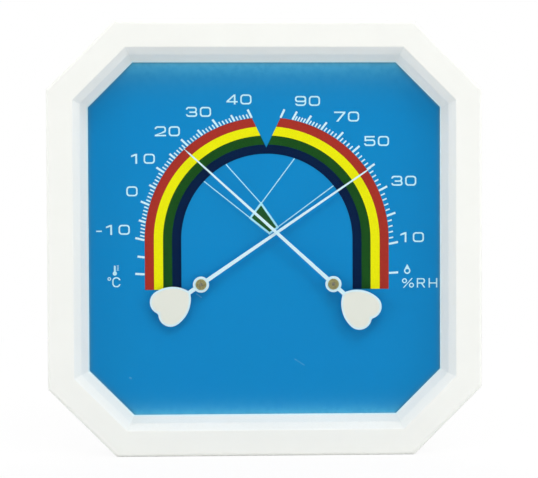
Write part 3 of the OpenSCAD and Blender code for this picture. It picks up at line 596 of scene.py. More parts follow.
@dataclass(frozen=True)
class Ink(Finish):
    """A layer of screen-printed ink."""

    deep: Colour
    roughness: float = 0.42
    sheen: float = 0.06

    def shade(self, graph: Surface) -> None:
        """Sets up the material.

        Args:
            graph: The material's nodes.
        """
        grain = graph.effect(PrintGrain, {"Grain size": 0.45})
        cover = graph.span(grain["Height"], 0.0, 1.0, 0.25, 0.6)
        graph.coat({
            "Base Color": graph.blend(self.deep, self.colour, cover),
            "Specular IOR Level": self.sheen,
            "Roughness": graph.span(grain["Drift"], self.roughness, self.roughness + 0.1),
            "Normal": graph.bump(grain["Height"], 0.005),
        })


@dataclass(frozen=True)
class HeartForm:
    """Shape of a hand's counterweight: two lobes of arcs that run together into the arm."""

    reach: float = 22.5
    side: float = 4.0
    lobe_r: float = 6.5
    flank_r: float = 16.5

    @property
    def drop(self) -> float:
        """How far the flanks' centres lie beyond the hand's line."""
        return self.flank_r - self.side - self.lobe_r


HEART = HeartForm()


@dataclass(frozen=True)
class Enamel(Finish):
    """Baked enamel on a hand: the arm and hub are whiter than the warm counterweight, and a whiter colour on
    the rolled rims is a painted highlight.
    """

    # Own colour of the arm and hub, also used as a painted highlight on the counterweight's rims.
    rim: Colour
    centre: Spot
    angle: float

    def rim_gap(self, graph: Surface, reach: Socket, aside: Socket) -> Socket:
        """Measures in from the counterweight's outline; the hub and the arm lie outside it.

        Args:
            graph: The material's nodes.
            reach: Place along the hand, from the arbor towards the tip.
            aside: Place across the hand.

        Returns:
            The distance in metres, negative outside.
        """
        along = graph.math("ADD", reach, HEART.reach / PER_METRE)
        across = graph.math("ABSOLUTE", aside)
        gaps = []
        for radius, shift in ((HEART.flank_r, HEART.drop), (HEART.lobe_r, -HEART.side)):
            level = graph.math("ADD", across, shift / PER_METRE)
            spot = graph.node("CombineXYZ", {0: along, 1: level}).outputs[0]
            gaps.append(graph.math("SUBTRACT", radius / PER_METRE, graph.vector("LENGTH", spot)))
        behind = graph.math("LESS_THAN", along, 0.0)
        change = graph.math("MULTIPLY", graph.math("SUBTRACT", gaps[1], gaps[0]), behind)
        return graph.math("ADD", gaps[0], change)

    def shade(self, graph: Surface) -> None:
        """Sets up the material.

        Args:
            graph: The material's nodes.
        """
        flat = graph.math("ABSOLUTE", graph.axes(graph.normal())["Y"])
        way = (math.cos(math.radians(self.angle)), 0.0, math.sin(math.radians(self.angle)))
        from_arbor = graph.vector("SUBTRACT", graph.spot(), in_frame(*self.centre))
        reach = graph.vector("DOT_PRODUCT", from_arbor, way)
        aside = graph.vector("DOT_PRODUCT", from_arbor, (-way[2], 0.0, way[0]))
        # Painted highlight: a band inside the counterweight's outline and every tilted rim face take the
        # whiter colour; the arm and hub take it as their own.
        near_rim = graph.span(self.rim_gap(graph, reach, aside), 1.0, 0.0, 0.0006, 0.0013)
        rim = graph.math("MAXIMUM", graph.span(flat, 1.0, 0.0, 0.985, 0.9995), near_rim)
        grain = graph.effect(PrintGrain, {"Grain size": 0.6})
        marks = graph.effect(HandlingMarks, {"Patch size": 7.0})
        colour = graph.blend(dimmed(self.colour, 0.965), self.colour, grain["Height"])
        graph.coat({
            "Base Color": graph.blend(colour, self.rim, rim),
            "Roughness": graph.span(marks["Mask"], 0.3, 0.42),
            "Normal": graph.bump(grain["Height"], 0.006),
        })


@dataclass(frozen=True)
class TurnedMetal(Finish):
    """Metal that a lathe has turned round an axis along Y."""

    dull: Colour
    centre: Spot
    roughness: float = 0.34
    tarnish: float = 0.0

    def shade(self, graph: Surface) -> None:
        """Sets up the material.

        Args:
            graph: The material's nodes.
        """
        lines = graph.effect(TurnedLines, {"Centre": in_frame(*self.centre)})
        wear = graph.effect(EdgeWear, {"Reach": 0.15, "Amount": 0.6})
        colour = graph.blend(self.colour, self.dull, graph.span(lines["Mask"], 0.0, 1.0, 0.35, 0.7))
        metallic: Any = 1.0
        if self.tarnish > 0:
            metallic = graph.span(lines["Mask"], 1.0 - self.tarnish * 0.6, 1.0 - self.tarnish, 0.35, 0.7)
        graph.coat({
            "Base Color": graph.blend(colour, dimmed(self.colour, 1.25), wear["Mask"]),
            "Metallic": metallic,
            "Roughness": graph.span(lines["Mask"], self.roughness - 0.06, self.roughness + 0.12),
            "Normal": graph.bump(lines["Height"], 0.006),
        })


@dataclass(frozen=True)
class RolledMetal(Finish):
    """Rolled or brushed sheet metal, or plated screws where the lines are short."""

    dull: Colour
    stretch: Corner = (0.05, 1.0, 1.0)
    line: float = 0.12
    roughness: float = 0.36

    def shade(self, graph: Surface) -> None:
        """Sets up the material.

        Args:
            graph: The material's nodes.
        """
        lines = graph.effect(RolledLines, {"Stretch": self.stretch, "Line width": self.line})
        wear = graph.effect(EdgeWear, {"Reach": 0.2, "Amount": 0.7})
        colour = graph.blend(self.dull, self.colour, graph.span(lines["Mask"], 0.0, 1.0, 0.3, 0.6))
        graph.coat({
            "Base Color": graph.blend(colour, dimmed(self.colour, 1.2), wear["Mask"]),
            "Metallic": 1.0,
            "Roughness": graph.span(lines["Height"], self.roughness - 0.05, self.roughness + 0.15),
            "Normal": graph.bump(lines["Height"], 0.005),
        })


@dataclass(frozen=True)
class TwoSidedStrip(Finish):
    """Strip of two bonded layers; the outer side shows the active one."""

    inner: Colour
    centre: Spot
    outer_metallic: float = 1.0

    def shade(self, graph: Surface) -> None:
        """Sets up the material.

        Args:
            graph: The material's nodes.
        """
        arm = graph.vector("SUBTRACT", graph.spot(), in_frame(*self.centre))
        arm = graph.vector("NORMALIZE", graph.vector("MULTIPLY", arm, (1.0, 0.0, 1.0)))
        outer = graph.span(graph.vector("DOT_PRODUCT", arm, graph.normal()), 0.0, 1.0, -0.1, 0.1)
        lines = graph.effect(RolledLines, {"Stretch": (1.0, 0.06, 1.0), "Line width": 0.1})
        near = graph.blend(dimmed(self.inner, 0.85), self.inner, lines["Height"])
        far = graph.blend(dimmed(self.colour, 0.85), self.colour, lines["Mask"])
        metallic: Any = 1.0
        if self.outer_metallic < 1:
            metallic = graph.span(outer, 1.0, self.outer_metallic)
        graph.coat({
            "Base Color": graph.blend(near, far, outer),
            "Metallic": metallic,
            "Roughness": graph.span(lines["Height"], 0.32, 0.52),
            "Normal": graph.bump(lines["Height"], 0.004),
        })


@dataclass(frozen=True)
class StudioFloor(Finish):
    """Pale floor that looks white and keeps the shadow of what stands on it."""

    glow: float = 0.92
    mirrored: float = 0.06
    near: float = 0.25
    far: float = 0.6

    def shade(self, graph: Surface) -> None:
        """Sets up the material.

        Args:
            graph: The material's nodes.
        """
        mottle = graph.effect(MouldGrain, {"Grain size": 1.5})["Mottle"]
        graph.coat({
            "Base Color": graph.blend(dimmed(self.colour, 0.98), self.colour, mottle),
            "Roughness": 0.9,
            "Specular IOR Level": 0.0,
        })
        path = graph.node("LightPath").outputs
        seen = graph.math("MAXIMUM", path["Is Camera Ray"], path["Is Transmission Ray"])
        away = graph.span(graph.vector("LENGTH", graph.spot()), self.glow, 1.0, self.near, self.far)
        white = graph.node("Emission", {"Color": (1.0, 1.0, 1.0), "Strength": 1.0})
        room = graph.node("Emission", {"Color": (1.0, 1.0, 1.0), "Strength": self.mirrored})
        plain = graph.mixed(graph.math("MULTIPLY", seen, away), graph.shader, white)
        graph.feed(graph.out, graph.mixed(path["Is Glossy Ray"], plain, room).outputs[0])


FRAME_PLASTIC = MouldedPlastic("frame_plastic", tone(245, 246, 241), worn=tone(250, 250, 247))
SURROUND_PLASTIC = PlasticWithPaintedDialLight(
    "surround_plastic", tone(251, 250, 247), worn=tone(252, 252, 251), grain=0.18, relief=0.008, dust=0.08,
    # The foot colour is painted blue light reflected from the dial.
    foot=tone(222, 248, 255)
)
COVER_PLASTIC = MouldedPlastic(
    "cover_plastic", tone(241, 242, 237), worn=tone(248, 248, 245), grain=0.32, relief=0.03, roughness=0.5
)
PANE_GLASS = ClearGlass("pane_glass", (0.985, 0.995, 0.99))
DIAL_PRINT = PrintedSheet(
    # The pale blue after metal is painted light near the walls; line is a painted shadow where the dial meets
    # them.
    "dial_print", tone(4, 138, 202), metal=tone(196, 198, 200), painted_wall_light=tone(112, 218, 255),
    line=tone(70, 86, 96),
    scratches=(
        ((15.7, -64.8), (21.0, -68.2), 0.35),
        ((-36.9, -29.4), (-34.2, -31.4), 0.4),
        ((-72.7, -74.4), (-72.1, -74.7), 0.7),
    ),
)
INKS = {
    "red_band": Ink("red_ink", tone(174, 50, 40), deep=tone(152, 44, 34)),
    "yellow_band": Ink("yellow_ink", tone(243, 238, 4), deep=tone(230, 226, 2)),
    "green_band": Ink("green_ink", tone(24, 82, 26), deep=tone(17, 65, 20)),
    "navy_band": Ink("navy_ink", tone(0, 30, 70), deep=tone(0, 22, 56), sheen=0.03),
    "comfort_zone": Ink("zone_ink", tone(34, 92, 44), deep=tone(26, 74, 34)),
    "scale_marks": Ink("mark_ink", tone(212, 243, 253), deep=tone(190, 233, 248)),
    "numerals": Ink("numeral_ink", tone(202, 243, 255), deep=tone(178, 231, 250)),
    "unit_signs": Ink("sign_ink", tone(202, 243, 255), deep=tone(178, 231, 250)),
    "comfort_lines": Ink("line_ink", tone(176, 233, 251), deep=tone(152, 222, 246)),
}
SHEET_STEEL = RolledMetal("sheet_steel", tone(190, 192, 194), dull=tone(168, 170, 173))
SPRING_STEEL = RolledMetal(
    "spring_steel", tone(126, 132, 142), dull=tone(96, 102, 116), stretch=(0.3, 1.0, 1.0), roughness=0.3
)
SCREW_STEEL = RolledMetal(
    "screw_steel", tone(200, 202, 204), dull=tone(176, 178, 181), stretch=(1.0, 1.0, 1.0), line=0.4,
    roughness=0.28
)
BAR_BRASS = RolledMetal("bar_brass", tone(203, 182, 112), dull=tone(170, 148, 88), stretch=(1.0, 0.08, 1.0))


def turned(spot: Spot, degrees: float, about: Spot = (0.0, 0.0)) -> Spot:
    """Turns a place that is given from a pivot.

    Args:
        spot: The place from the pivot.
        degrees: Angle, counter-clockwise.
        about: The pivot.

    Returns:
        The turned place in plan.
    """
    (x, y), angle = spot, math.radians(degrees)
    cos, sin = math.cos(angle), math.sin(angle)
    return about[0] + x * cos - y * sin, about[1] + x * sin + y * cos


def arc(centre: Spot, radius: float, start: float, end: float, steps: int) -> list[Spot]:
    """Returns places along an arc between two angles in degrees, both ends included."""
    angles = [math.radians(start + (end - start) * k / steps) for k in range(steps + 1)]
    return [(centre[0] + radius * math.cos(a), centre[1] + radius * math.sin(a)) for a in angles]


def disc(x: float, y: float, radius: float) -> list[Spot]:
    """Returns the places round a circle."""
    return arc((x, y), radius, 0, 360, 48)[:-1]


def slot_loop(x: float, y: float, length: float, width: float) -> list[Spot]:
    """Returns the places round a slot with round ends, with its middle at x and y."""
    side = (length - width) / 2
    return arc((x + side, y), width / 2, -90, 90, 12) + arc((x - side, y), width / 2, 90, 270, 12)


def soften(corners: Sequence[Corner], closed: bool = False, steps: int = 5) -> list[Spot]:
    """Rounds the corners of a profile.

    Args:
        corners: Points of the profile, each with the radius of its corner.
        closed: Whether the last point joins the first.
        steps: Segments of each rounded corner.

    Returns:
        The points of the rounded profile.
    """
    count = len(corners)
    spots: list[Spot] = []
    for k, (x, y, radius) in enumerate(corners):
        if radius <= 0 or (not closed and k in (0, count - 1)):
            spots.append((x, y))
            continue
        here = Vector((x, y))
        back = (Vector(corners[k - 1][:2]) - here).normalized()
        ahead = (Vector(corners[(k + 1) % count][:2]) - here).normalized()
        half = back.angle(ahead) / 2
        centre = here + (back + ahead).normalized() * radius / math.sin(half)
        start = here + back * radius / math.tan(half) - centre
        sweep = start.angle_signed(here + ahead * radius / math.tan(half) - centre)
        for step in range(steps + 1):
            arm = start.copy()
            arm.rotate(Matrix.Rotation(-sweep * step / steps, 2))
            spots.append((centre.x + arm.x, centre.y + arm.y))
    return spots


@dataclass(frozen=True)
class Octagon:
    """Plan outline of the case, with corners that are cut off and slightly rounded."""

    width: float = 230.0
    cut: float = 36.0
    corner_r: float = 1.7
    least_r: float = 0.35
    steps: int = 6

    def loop(self, inset: float, height: float) -> list[Vector]:
        """Draws the outline at one inset and height.

        Args:
            inset: Distance inwards from the outside.
            height: Height above the wall.

        Returns:
            Its points, counter-clockwise.
        """
        radius = max(self.least_r, self.corner_r - 0.06 * inset)
        flat = self.width / 2 - inset - radius
        slanted = (self.width - self.cut) / math.sqrt(2) - inset - radius
        eighth = math.radians(45)
        points = []
        for k in range(8):
            near, far = (flat, slanted) if k % 2 == 0 else (slanted, flat)
            along = (far - near * math.cos(eighth)) / math.sin(eighth)
            centre = Vector(turned((near, along), 45 * k))
            for step in range(self.steps + 1):
                angle = math.radians(45 * k) + eighth * step / self.steps
                x, y = centre.x + radius * math.cos(angle), centre.y + radius * math.sin(angle)
                points.append(Vector((x, y, height)))
        return points

    def flat_loop(self, inset: float) -> list[Spot]:
        """Returns the outline at an inset as flat points."""
        return [(p.x, p.y) for p in self.loop(inset, 0.0)]

    def beside_sides(self, side: float, inset: float) -> list[Spot]:
        """Returns two places on each main side, both as far from its middle and from the outside."""
        reach = self.width / 2 - inset
        return [turned((reach, s * side), 90 * k) for k in range(4) for s in (-1, 1)]

    def corner_spots(self, inset: float) -> list[Spot]:
        """Returns the four places behind the cut corners, at an inset."""
        reach = (self.width - self.cut) / math.sqrt(2) - inset
        return [turned((reach, 0.0), 45 + 90 * k) for k in range(4)]


CASE = Octagon()
DIAL_SCREWS = [(x, y) for x in (-60, 60) for y in (-101.5, 101.5)]
CARRIER_SCREWS = [(x, ARBOR_Y + y) for x in (-101.5, 101.5) for y in (-12, 12)]
SURROUND_SCREWS = CASE.beside_sides(50, 5.5)


class Draft:
    """A mesh in the making, in plan millimetres."""

    def __init__(self) -> None:
        """Starts empty."""
        self.bm = bmesh.new()

    def skin(self, rows: Sequence[Sequence[Vector]], wrap: bool = False, capped: bool = False) -> "Draft":
        """Lays faces between closed rows of as many points each.

        Args:
            rows: The rows.
            wrap: Whether the last row joins the first.
            capped: Whether the first and the last row are filled.

        Returns:
            The draft itself.
        """
        made = [[self.bm.verts.new(point) for point in row] for row in rows]
        for j in range(len(rows) if wrap else len(rows) - 1):
            near, far = made[j], made[(j + 1) % len(rows)]
            for k in range(len(near)):
                m = (k + 1) % len(near)
                self.bm.faces.new((near[k], near[m], far[m], far[k]))
        for row in (made[0], made[-1]) if capped else ():
            self.bm.faces.new(row)
        return self

    def ring(self, profile: Loop) -> "Draft":
        """Runs a closed profile of insets and heights round the case's octagon."""
        return self.skin([CASE.loop(inset, height) for inset, height in profile], wrap=True)

    def lathe(self, profile: Loop, place: Spot, wrap: bool = False, steps: int = 40) -> "Draft":
        """Turns a profile of radii and heights round an axis that stands on the wall.

        Args:
            profile: The profile.
            place: The axis's place.
            wrap: Whether the profile closes on itself.
            steps: Segments round the axis.

        Returns:
            The draft itself.
        """
        x, y = place
        ways = [(math.cos(math.tau * k / steps), math.sin(math.tau * k / steps)) for k in range(steps)]
        rows = [[Vector((x + r * c, y + r * s, h)) for c, s in ways] for r, h in profile]
        return self.skin(rows, wrap=wrap)

    def plate(
        self, loops: Sequence[Loop], bottom: float, top: float, edge: float, rise: float | None = None
    ) -> "Draft":
        """Fills flat outlines to a plate with rounded edges; inner outlines are holes.

        Args:
            loops: The outlines.
            bottom: Height of its lower face.
            top: Height of its upper face.
            edge: Width of the rounding.
            rise: Height of the rounding where it isn't as high as wide.

        Returns:
            The draft itself.
        """
        data = bpy.data.curves.new("outline", "CURVE")
        data.dimensions, data.fill_mode = "2D", "BOTH"
        for loop in loops:
            spline = data.splines.new("POLY")
            spline.points.add(len(loop) - 1)
            for point, (x, y) in zip(spline.points, loop):
                point.co = (x, y, 0.0, 1.0)
            spline.use_cyclic_u = True
        high = edge if rise is None else rise
        half, core = (top - bottom) / 2, (top - bottom) / 2 - high
        data.bevel_depth, data.bevel_resolution, data.offset, data.extrude = edge, 2, -edge, core
        holder = bpy.data.objects.new("outline", data)
        bpy.context.scene.collection.objects.link(holder)
        mesh = bpy.data.meshes.new_from_object(holder.evaluated_get(bpy.context.evaluated_depsgraph_get()))
        for vertex in mesh.vertices:
            over = max(abs(vertex.co.z) - core, 0.0) * high / edge
            flat = min(abs(vertex.co.z), core) + over
            vertex.co.z = bottom + half + math.copysign(flat, vertex.co.z)
        self.stamp(mesh)
        bpy.data.objects.remove(holder)
        bpy.data.curves.remove(data)
        bpy.data.meshes.remove(mesh)
        return self

    def stamp(self, mesh: bpy.types.Mesh, x: float = 0.0, y: float = 0.0, height: float = 0.0) -> "Draft":
        """Adds a copy of a mesh.

        Args:
            mesh: The mesh, in plan millimetres.
            x: Its shift to the right.
            y: Its shift upwards.
            height: Its shift away from the wall.

        Returns:
            The draft itself.
        """
        before = len(self.bm.verts)
        self.bm.from_mesh(mesh)
        self.bm.verts.ensure_lookup_table()
        for vertex in self.bm.verts[before:]:
            vertex.co += Vector((x, y, height))
        return self

    def mesh(self, name: str, place: Matrix | None = None) -> bpy.types.Mesh:
        """Merges double points, turns the faces outwards and makes a mesh.

        Args:
            name: Name of the mesh.
            place: Where it goes, or nothing where it stays in plan.

        Returns:
            The mesh.
        """
        bmesh.ops.remove_doubles(self.bm, verts=self.bm.verts, dist=1e-4)
        bmesh.ops.dissolve_degenerate(self.bm, edges=self.bm.edges, dist=1e-5)
        bmesh.ops.recalc_face_normals(self.bm, faces=self.bm.faces)
        if place is not None:
            self.bm.transform(place)
        data = bpy.data.meshes.new(name)
        self.bm.to_mesh(data)
        return data

    def cut(self, tool: "Draft") -> "Draft":
        """Takes another draft's volume away.

        Args:
            tool: The volume that is taken away.

        Returns:
            A new draft of what is left.
        """
        holders = [bpy.data.objects.new("blank", draft.mesh("blank")) for draft in (self, tool)]
        for holder in holders:
            bpy.context.scene.collection.objects.link(holder)
        saw = holders[0].modifiers.new("saw", "BOOLEAN")
        saw.operation, saw.solver, saw.object = "DIFFERENCE", "EXACT", holders[1]
        graph = bpy.context.evaluated_depsgraph_get()
        left = bpy.data.meshes.new_from_object(holders[0].evaluated_get(graph))
        for holder in holders:
            bpy.data.objects.remove(holder)
        return Draft().stamp(left)

    def piece(self, name: str, finish: Finish, angle: float = 34.0) -> bpy.types.Object:
        """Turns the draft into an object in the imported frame.

        Args:
            name: Name of the piece.
            finish: Its finish.
            angle: Edges that turn more than this many degrees stay sharp.

        Returns:
            The object.
        """
        data = self.mesh(name, PLAN)
        data.shade_smooth()
        data.set_sharp_from_angle(angle=math.radians(angle))
        data.materials.append(finish.material())
        piece = bpy.data.objects.new(name, data)
        bpy.context.scene.collection.objects.link(piece)
        piece.modifiers.new("even_shading", "WEIGHTED_NORMAL").keep_sharp = True
        return piece


def mount(piece: bpy.types.Object, body: Body, slot: Slot, *nodes: str) -> None:
    """Puts a piece on its body in the place of CAD nodes.

    Args:
        piece: The piece.
        body: The body that it rides on.
        slot: Not used.
        nodes: The CAD nodes that it stands for.
    """
    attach(piece, body.value)
    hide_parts(*nodes)
    LOG.info("%s rides on %s for %s", piece.name, body.value, ", ".join(nodes))


def dress(node: str, finish: Finish, edge: float = 0.0) -> None:
    """Gives a CAD node that stays its finish and fine broken edges.

    Args:
        node: The node.
        finish: Its finish.
        edge: Width of the broken edges in millimetres, or 0 for none.
    """
    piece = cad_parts[node]
    for holder in piece.material_slots:
        holder.material = finish.material()
    if edge > 0:
        piece.modifiers.new("weld", "WELD").merge_threshold = 1e-6
        broken = piece.modifiers.new("broken_edges", "BEVEL")
        broken.width, broken.segments, broken.limit_method = edge / PER_METRE, 2, "ANGLE"
        broken.angle_limit, broken.harden_normals = math.radians(40), False
        piece.modifiers.new("even_shading", "WEIGHTED_NORMAL").keep_sharp = True
    LOG.info("%s keeps its CAD solid, with the finish %s", node, finish.name)


@dataclass(frozen=True)
class ScrewForm:
    """One kind of screw: its head behind the plane h = 0 and its thread towards the front."""

    head_r: float
    head_h: float
    shank_r: float
    length: float
    pitch: float = 1.0
    sunk: bool = False
    steps: int = 28
    rows_per_turn: int = 8

    def head(self) -> list[Spot]:
        """Draws the head's profile.

        Returns:
            Its points from the middle of the head to the shank.
        """
        cone = self.head_r - self.shank_r
        sunk = [(0, 0, 0), (self.head_r, 0, 0.12), (self.shank_r, cone, 0.2), (self.shank_r, cone + 0.4, 0)]
        domed = [
            (0, -self.head_h, 0),
            (self.head_r * 0.78, -self.head_h * 0.96, self.head_h * 0.45),
            (self.head_r, -self.head_h * 0.3, self.head_h * 0.2),
            (self.head_r, 0, 0.08),
            (self.shank_r * 0.95, 0, 0),
        ]
        return soften(sunk if self.sunk else domed)

    def turn(self, radii: Sequence[float], height: float) -> list[Vector]:
        """Returns one row of points round the axis."""
        angles = [math.tau * k / self.steps for k in range(self.steps)]
        return [Vector((r * math.cos(a), r * math.sin(a), height)) for r, a in zip(radii, angles)]

    def mesh(self) -> bpy.types.Mesh:
        """Makes the whole screw, with a helical thread, a point and a crossed recess.

        Returns:
            Its mesh.
        """
        profile = self.head()
        rows = [self.turn([radius] * self.steps, height) for radius, height in profile]
        start, tip = profile[-1][1] + 0.05, 0.35 * self.pitch + self.shank_r
        count = int((self.length - start) / self.pitch * self.rows_per_turn)
        for j in range(count + 1):
            h = start + (self.length - start) * j / count
            taper = min(1.0, 0.3 + 0.7 * (self.length - h) / tip)
            turns = [(h / self.pitch - k / self.steps) % 1.0 for k in range(self.steps)]
            ridges = [max(0.0, 1.0 - abs(turn - 0.5) * 4.0) for turn in turns]
            rows.append(self.turn([self.shank_r * (0.74 + 0.25 * ridge) * taper for ridge in ridges], h))
        rows.append([Vector((0, 0, self.length))] * self.steps)
        return Draft().skin(rows).cut(self.recess()).mesh("screw")

    def recess(self) -> Draft:
        """Makes the volume of the crossed recess.

        Returns:
            Its draft.
        """
        mouth = -0.2 if self.sunk else -self.head_h - 0.2
        floor = 0.9 if self.sunk else -self.head_h * 0.35
        rows = [[Vector((0, 0, mouth))] * 12]
        for share, height in ((1.0, mouth), (0.62, floor)):
            long, wide = self.head_r * 0.52 * share, self.head_r * 0.12 * share
            quarter = [Vector((x, y, height)) for x, y in ((long, wide), (wide, wide), (wide, long))]
            turns = [Matrix.Rotation(math.radians(90 * k), 3, "Z") for k in range(4)]
            rows.append([turn @ point for turn in turns for point in quarter])
        rows.append([Vector((0, 0, floor))] * 12)
        return Draft().skin(rows)


def screws(name: str, form: ScrewForm, places: Sequence[Spot], height: float, node: str) -> None:
    """Makes a set of like screws as one piece.

    Args:
        name: Name of the piece.
        form: The screws' form.
        places: Their places in plan.
        height: Height of the plane under their heads.
        node: The CAD node that they stand for.
    """
    mesh, draft = form.mesh(), Draft()
    for x, y in places:
        draft.stamp(mesh, x, y, height)
    mount(draft.piece(name, SCREW_STEEL), Body.CASE, Slot.STEEL, node)


@dataclass
class Case:
    """White frame with its nest for the glass, its screw bosses and its back cover."""

    depth: float = 30.0
    face_w: float = 14.3
    face_t: float = 2.4
    wall: float = 2.5
    edge_r: float = 2.0
    lip_r: float = 0.8
    lip_in: float = 17.2
    glass_front: float = 25.0
    nest_in: float = 15.0
    nest_h: float = 22.8
    skirt_in: float = 13.4
    cover_front: float = 3.3
    cover_back: float = 1.1
    rim_w: float = 1.6
    boss_r: float = 3.4
    boss_in: float = 5.5
    hole_r: float = 1.45
    sink_r: float = 3.2
    notch_half: Spot = (8.0, 3.0)
    cover_hole_end: float = 15.0
    surround_boss: Spot = (17.6, 24.6)
    key_slot_r: float = 2.3
    key_slot_end: float = 76.0
    key_entry_r: float = 4.5
    key_entry_h: float = 72.0
    key_entry_way: Spot = (120.7, 419.3)
    pad_x: float = 8.5
    pad_h: Spot = (63.5, 90.3)
    reach_hole_r: float = 3.0
    vent: Spot = (34.0, 3.0)
    vent_step: float = 7.5
    high_vent: Spot = (57.5, 20.0)
    low_vent: Spot = (48.3, -57.5)

    def boss(self, draft: Draft, place: Spot, bottom: float, hole_top: float) -> None:
        """Adds a round boss with a blind hole that opens to the back.

        Args:
            draft: The draft that takes it.
            place: Its place.
            bottom: Height of its rear end.
            hole_top: Height of the hole's end.
        """
        top = self.depth - self.face_t + 0.2
        profile = soften([
            (0, hole_top, 0), (self.hole_r, hole_top - 0.4, 0), (self.hole_r, bottom, 0.25),
            (self.boss_r, bottom, 0.3), (self.boss_r, top, 0),
        ])
        draft.lathe(profile + [(0, top)], place, steps=32)

    def notches(self) -> Draft:
        """Makes the blocks that are cut out of the rear rim.

        Returns:
            Their draft.
        """
        saw = Draft()
        for x, y in CASE.beside_sides((CASE.width / 2 - CASE.cut) / 2, 1.3):
            wide, high = self.notch_half if abs(y) > abs(x) else self.notch_half[::-1]
            corners = [(x + sx * wide, y + sy * high) for sx, sy in ((-1, -1), (1, -1), (1, 1), (-1, 1))]
            block = Draft().skin([[Vector((*c, h)) for c in corners] for h in (-1.0, 1.0)], capped=True)
            saw.stamp(block.mesh("notch"))
        return saw

    def frame(self) -> None:
        """Makes the frame."""
        under_face, skirt = self.depth - self.face_t, self.skirt_in
        outside = soften([(self.rim_w, 0, 0.15), (0, 0, 0.35), (0, self.depth - 6, 0)], steps=3)[1:-1]
        edge = arc((self.edge_r, self.depth - self.edge_r), self.edge_r, 180, 90, 10)
        lip = arc((self.face_w - self.lip_r, self.depth - self.lip_r), self.lip_r, 90, 30, 6)
        slope = [(15.6, 28, 0), (self.lip_in, self.glass_front, 0.05), (self.nest_in, self.glass_front, 0)]
        nest = [
            (self.nest_in, self.nest_h), (skirt + 0.2, self.nest_h), (skirt, self.nest_h + 0.2),
            (skirt, under_face - 0.4), (skirt - 0.4, under_face),
        ]
        inside = [
            (self.wall + 0.6, under_face), (self.wall, under_face - 0.6), (self.wall, self.cover_front),
            (self.rim_w, self.cover_front), (self.rim_w, 0.2), (self.rim_w - 0.2, 0),
        ]
        shell = Draft().ring(outside + edge + lip + soften(slope, steps=3)[1:] + nest + inside)
        shell = shell.cut(self.notches())
        for place in CASE.corner_spots(self.boss_in):
            self.boss(shell, place, self.cover_front, self.cover_hole_end)
        for place in SURROUND_SCREWS:
            self.boss(shell, place, *self.surround_boss)
        mount(shell.piece("frame", FRAME_PLASTIC), Body.CASE, Slot.FRAME_WHITE, "bezel")

    def cover(self) -> None:
        """Makes the back cover with its keyhole, air slots, access holes and countersinks."""
        bottom, top, slot_r = self.cover_back, self.cover_front, self.key_slot_r
        key = arc((0, HANG_H), slot_r, 0, 180, 16) + [(-slot_r, self.key_slot_end)]
        key += arc((0, self.key_entry_h), self.key_entry_r, *self.key_entry_way, 40)
        key += [(slot_r, self.key_slot_end)]
        corners = CASE.corner_spots(self.boss_in)
        loops = [CASE.flat_loop(1.8), key]
        loops += [disc(x, ARBOR_Y, self.reach_hole_r) for x in (TEMP_X, HUMIDITY_X)]
        loops += [disc(x, y, self.sink_r) for x, y in corners]
        for k in range(5):
            for way in (-1, 1):
                for (x, y), step in ((self.high_vent, self.vent_step), (self.low_vent, -self.vent_step)):
                    loops.append(slot_loop(way * x, y + step * k, *self.vent))
        cover = Draft().plate(loops, bottom, top, 0.35)
        edge = self.sink_r + 0.05
        for place in corners:
            cover.lathe([(edge, bottom + 0.12), (1.6, 2.7), (1.6, top), (edge, top)], place, wrap=True)
        (low, high), wide = self.pad_h, self.pad_x
        pad = [(wide, low, 2.0), (wide, high, 2.0), (-wide, high, 2.0), (-wide, low, 2.0)]
        cover.plate([soften(pad, closed=True), key], top - 0.05, top + 1.2, 0.3)
        mount(cover.piece("back_cover_panel", COVER_PLASTIC), Body.CASE, Slot.COVER_WHITE, "back_cover")
        screws("cover_screw_set", ScrewForm(3.0, 0.0, 1.4, 10.2, sunk=True), corners, bottom, "cover_screws")

    def build(self) -> None:
        """Makes the frame, the cover and the cover's screws."""
        self.frame()
        self.cover()


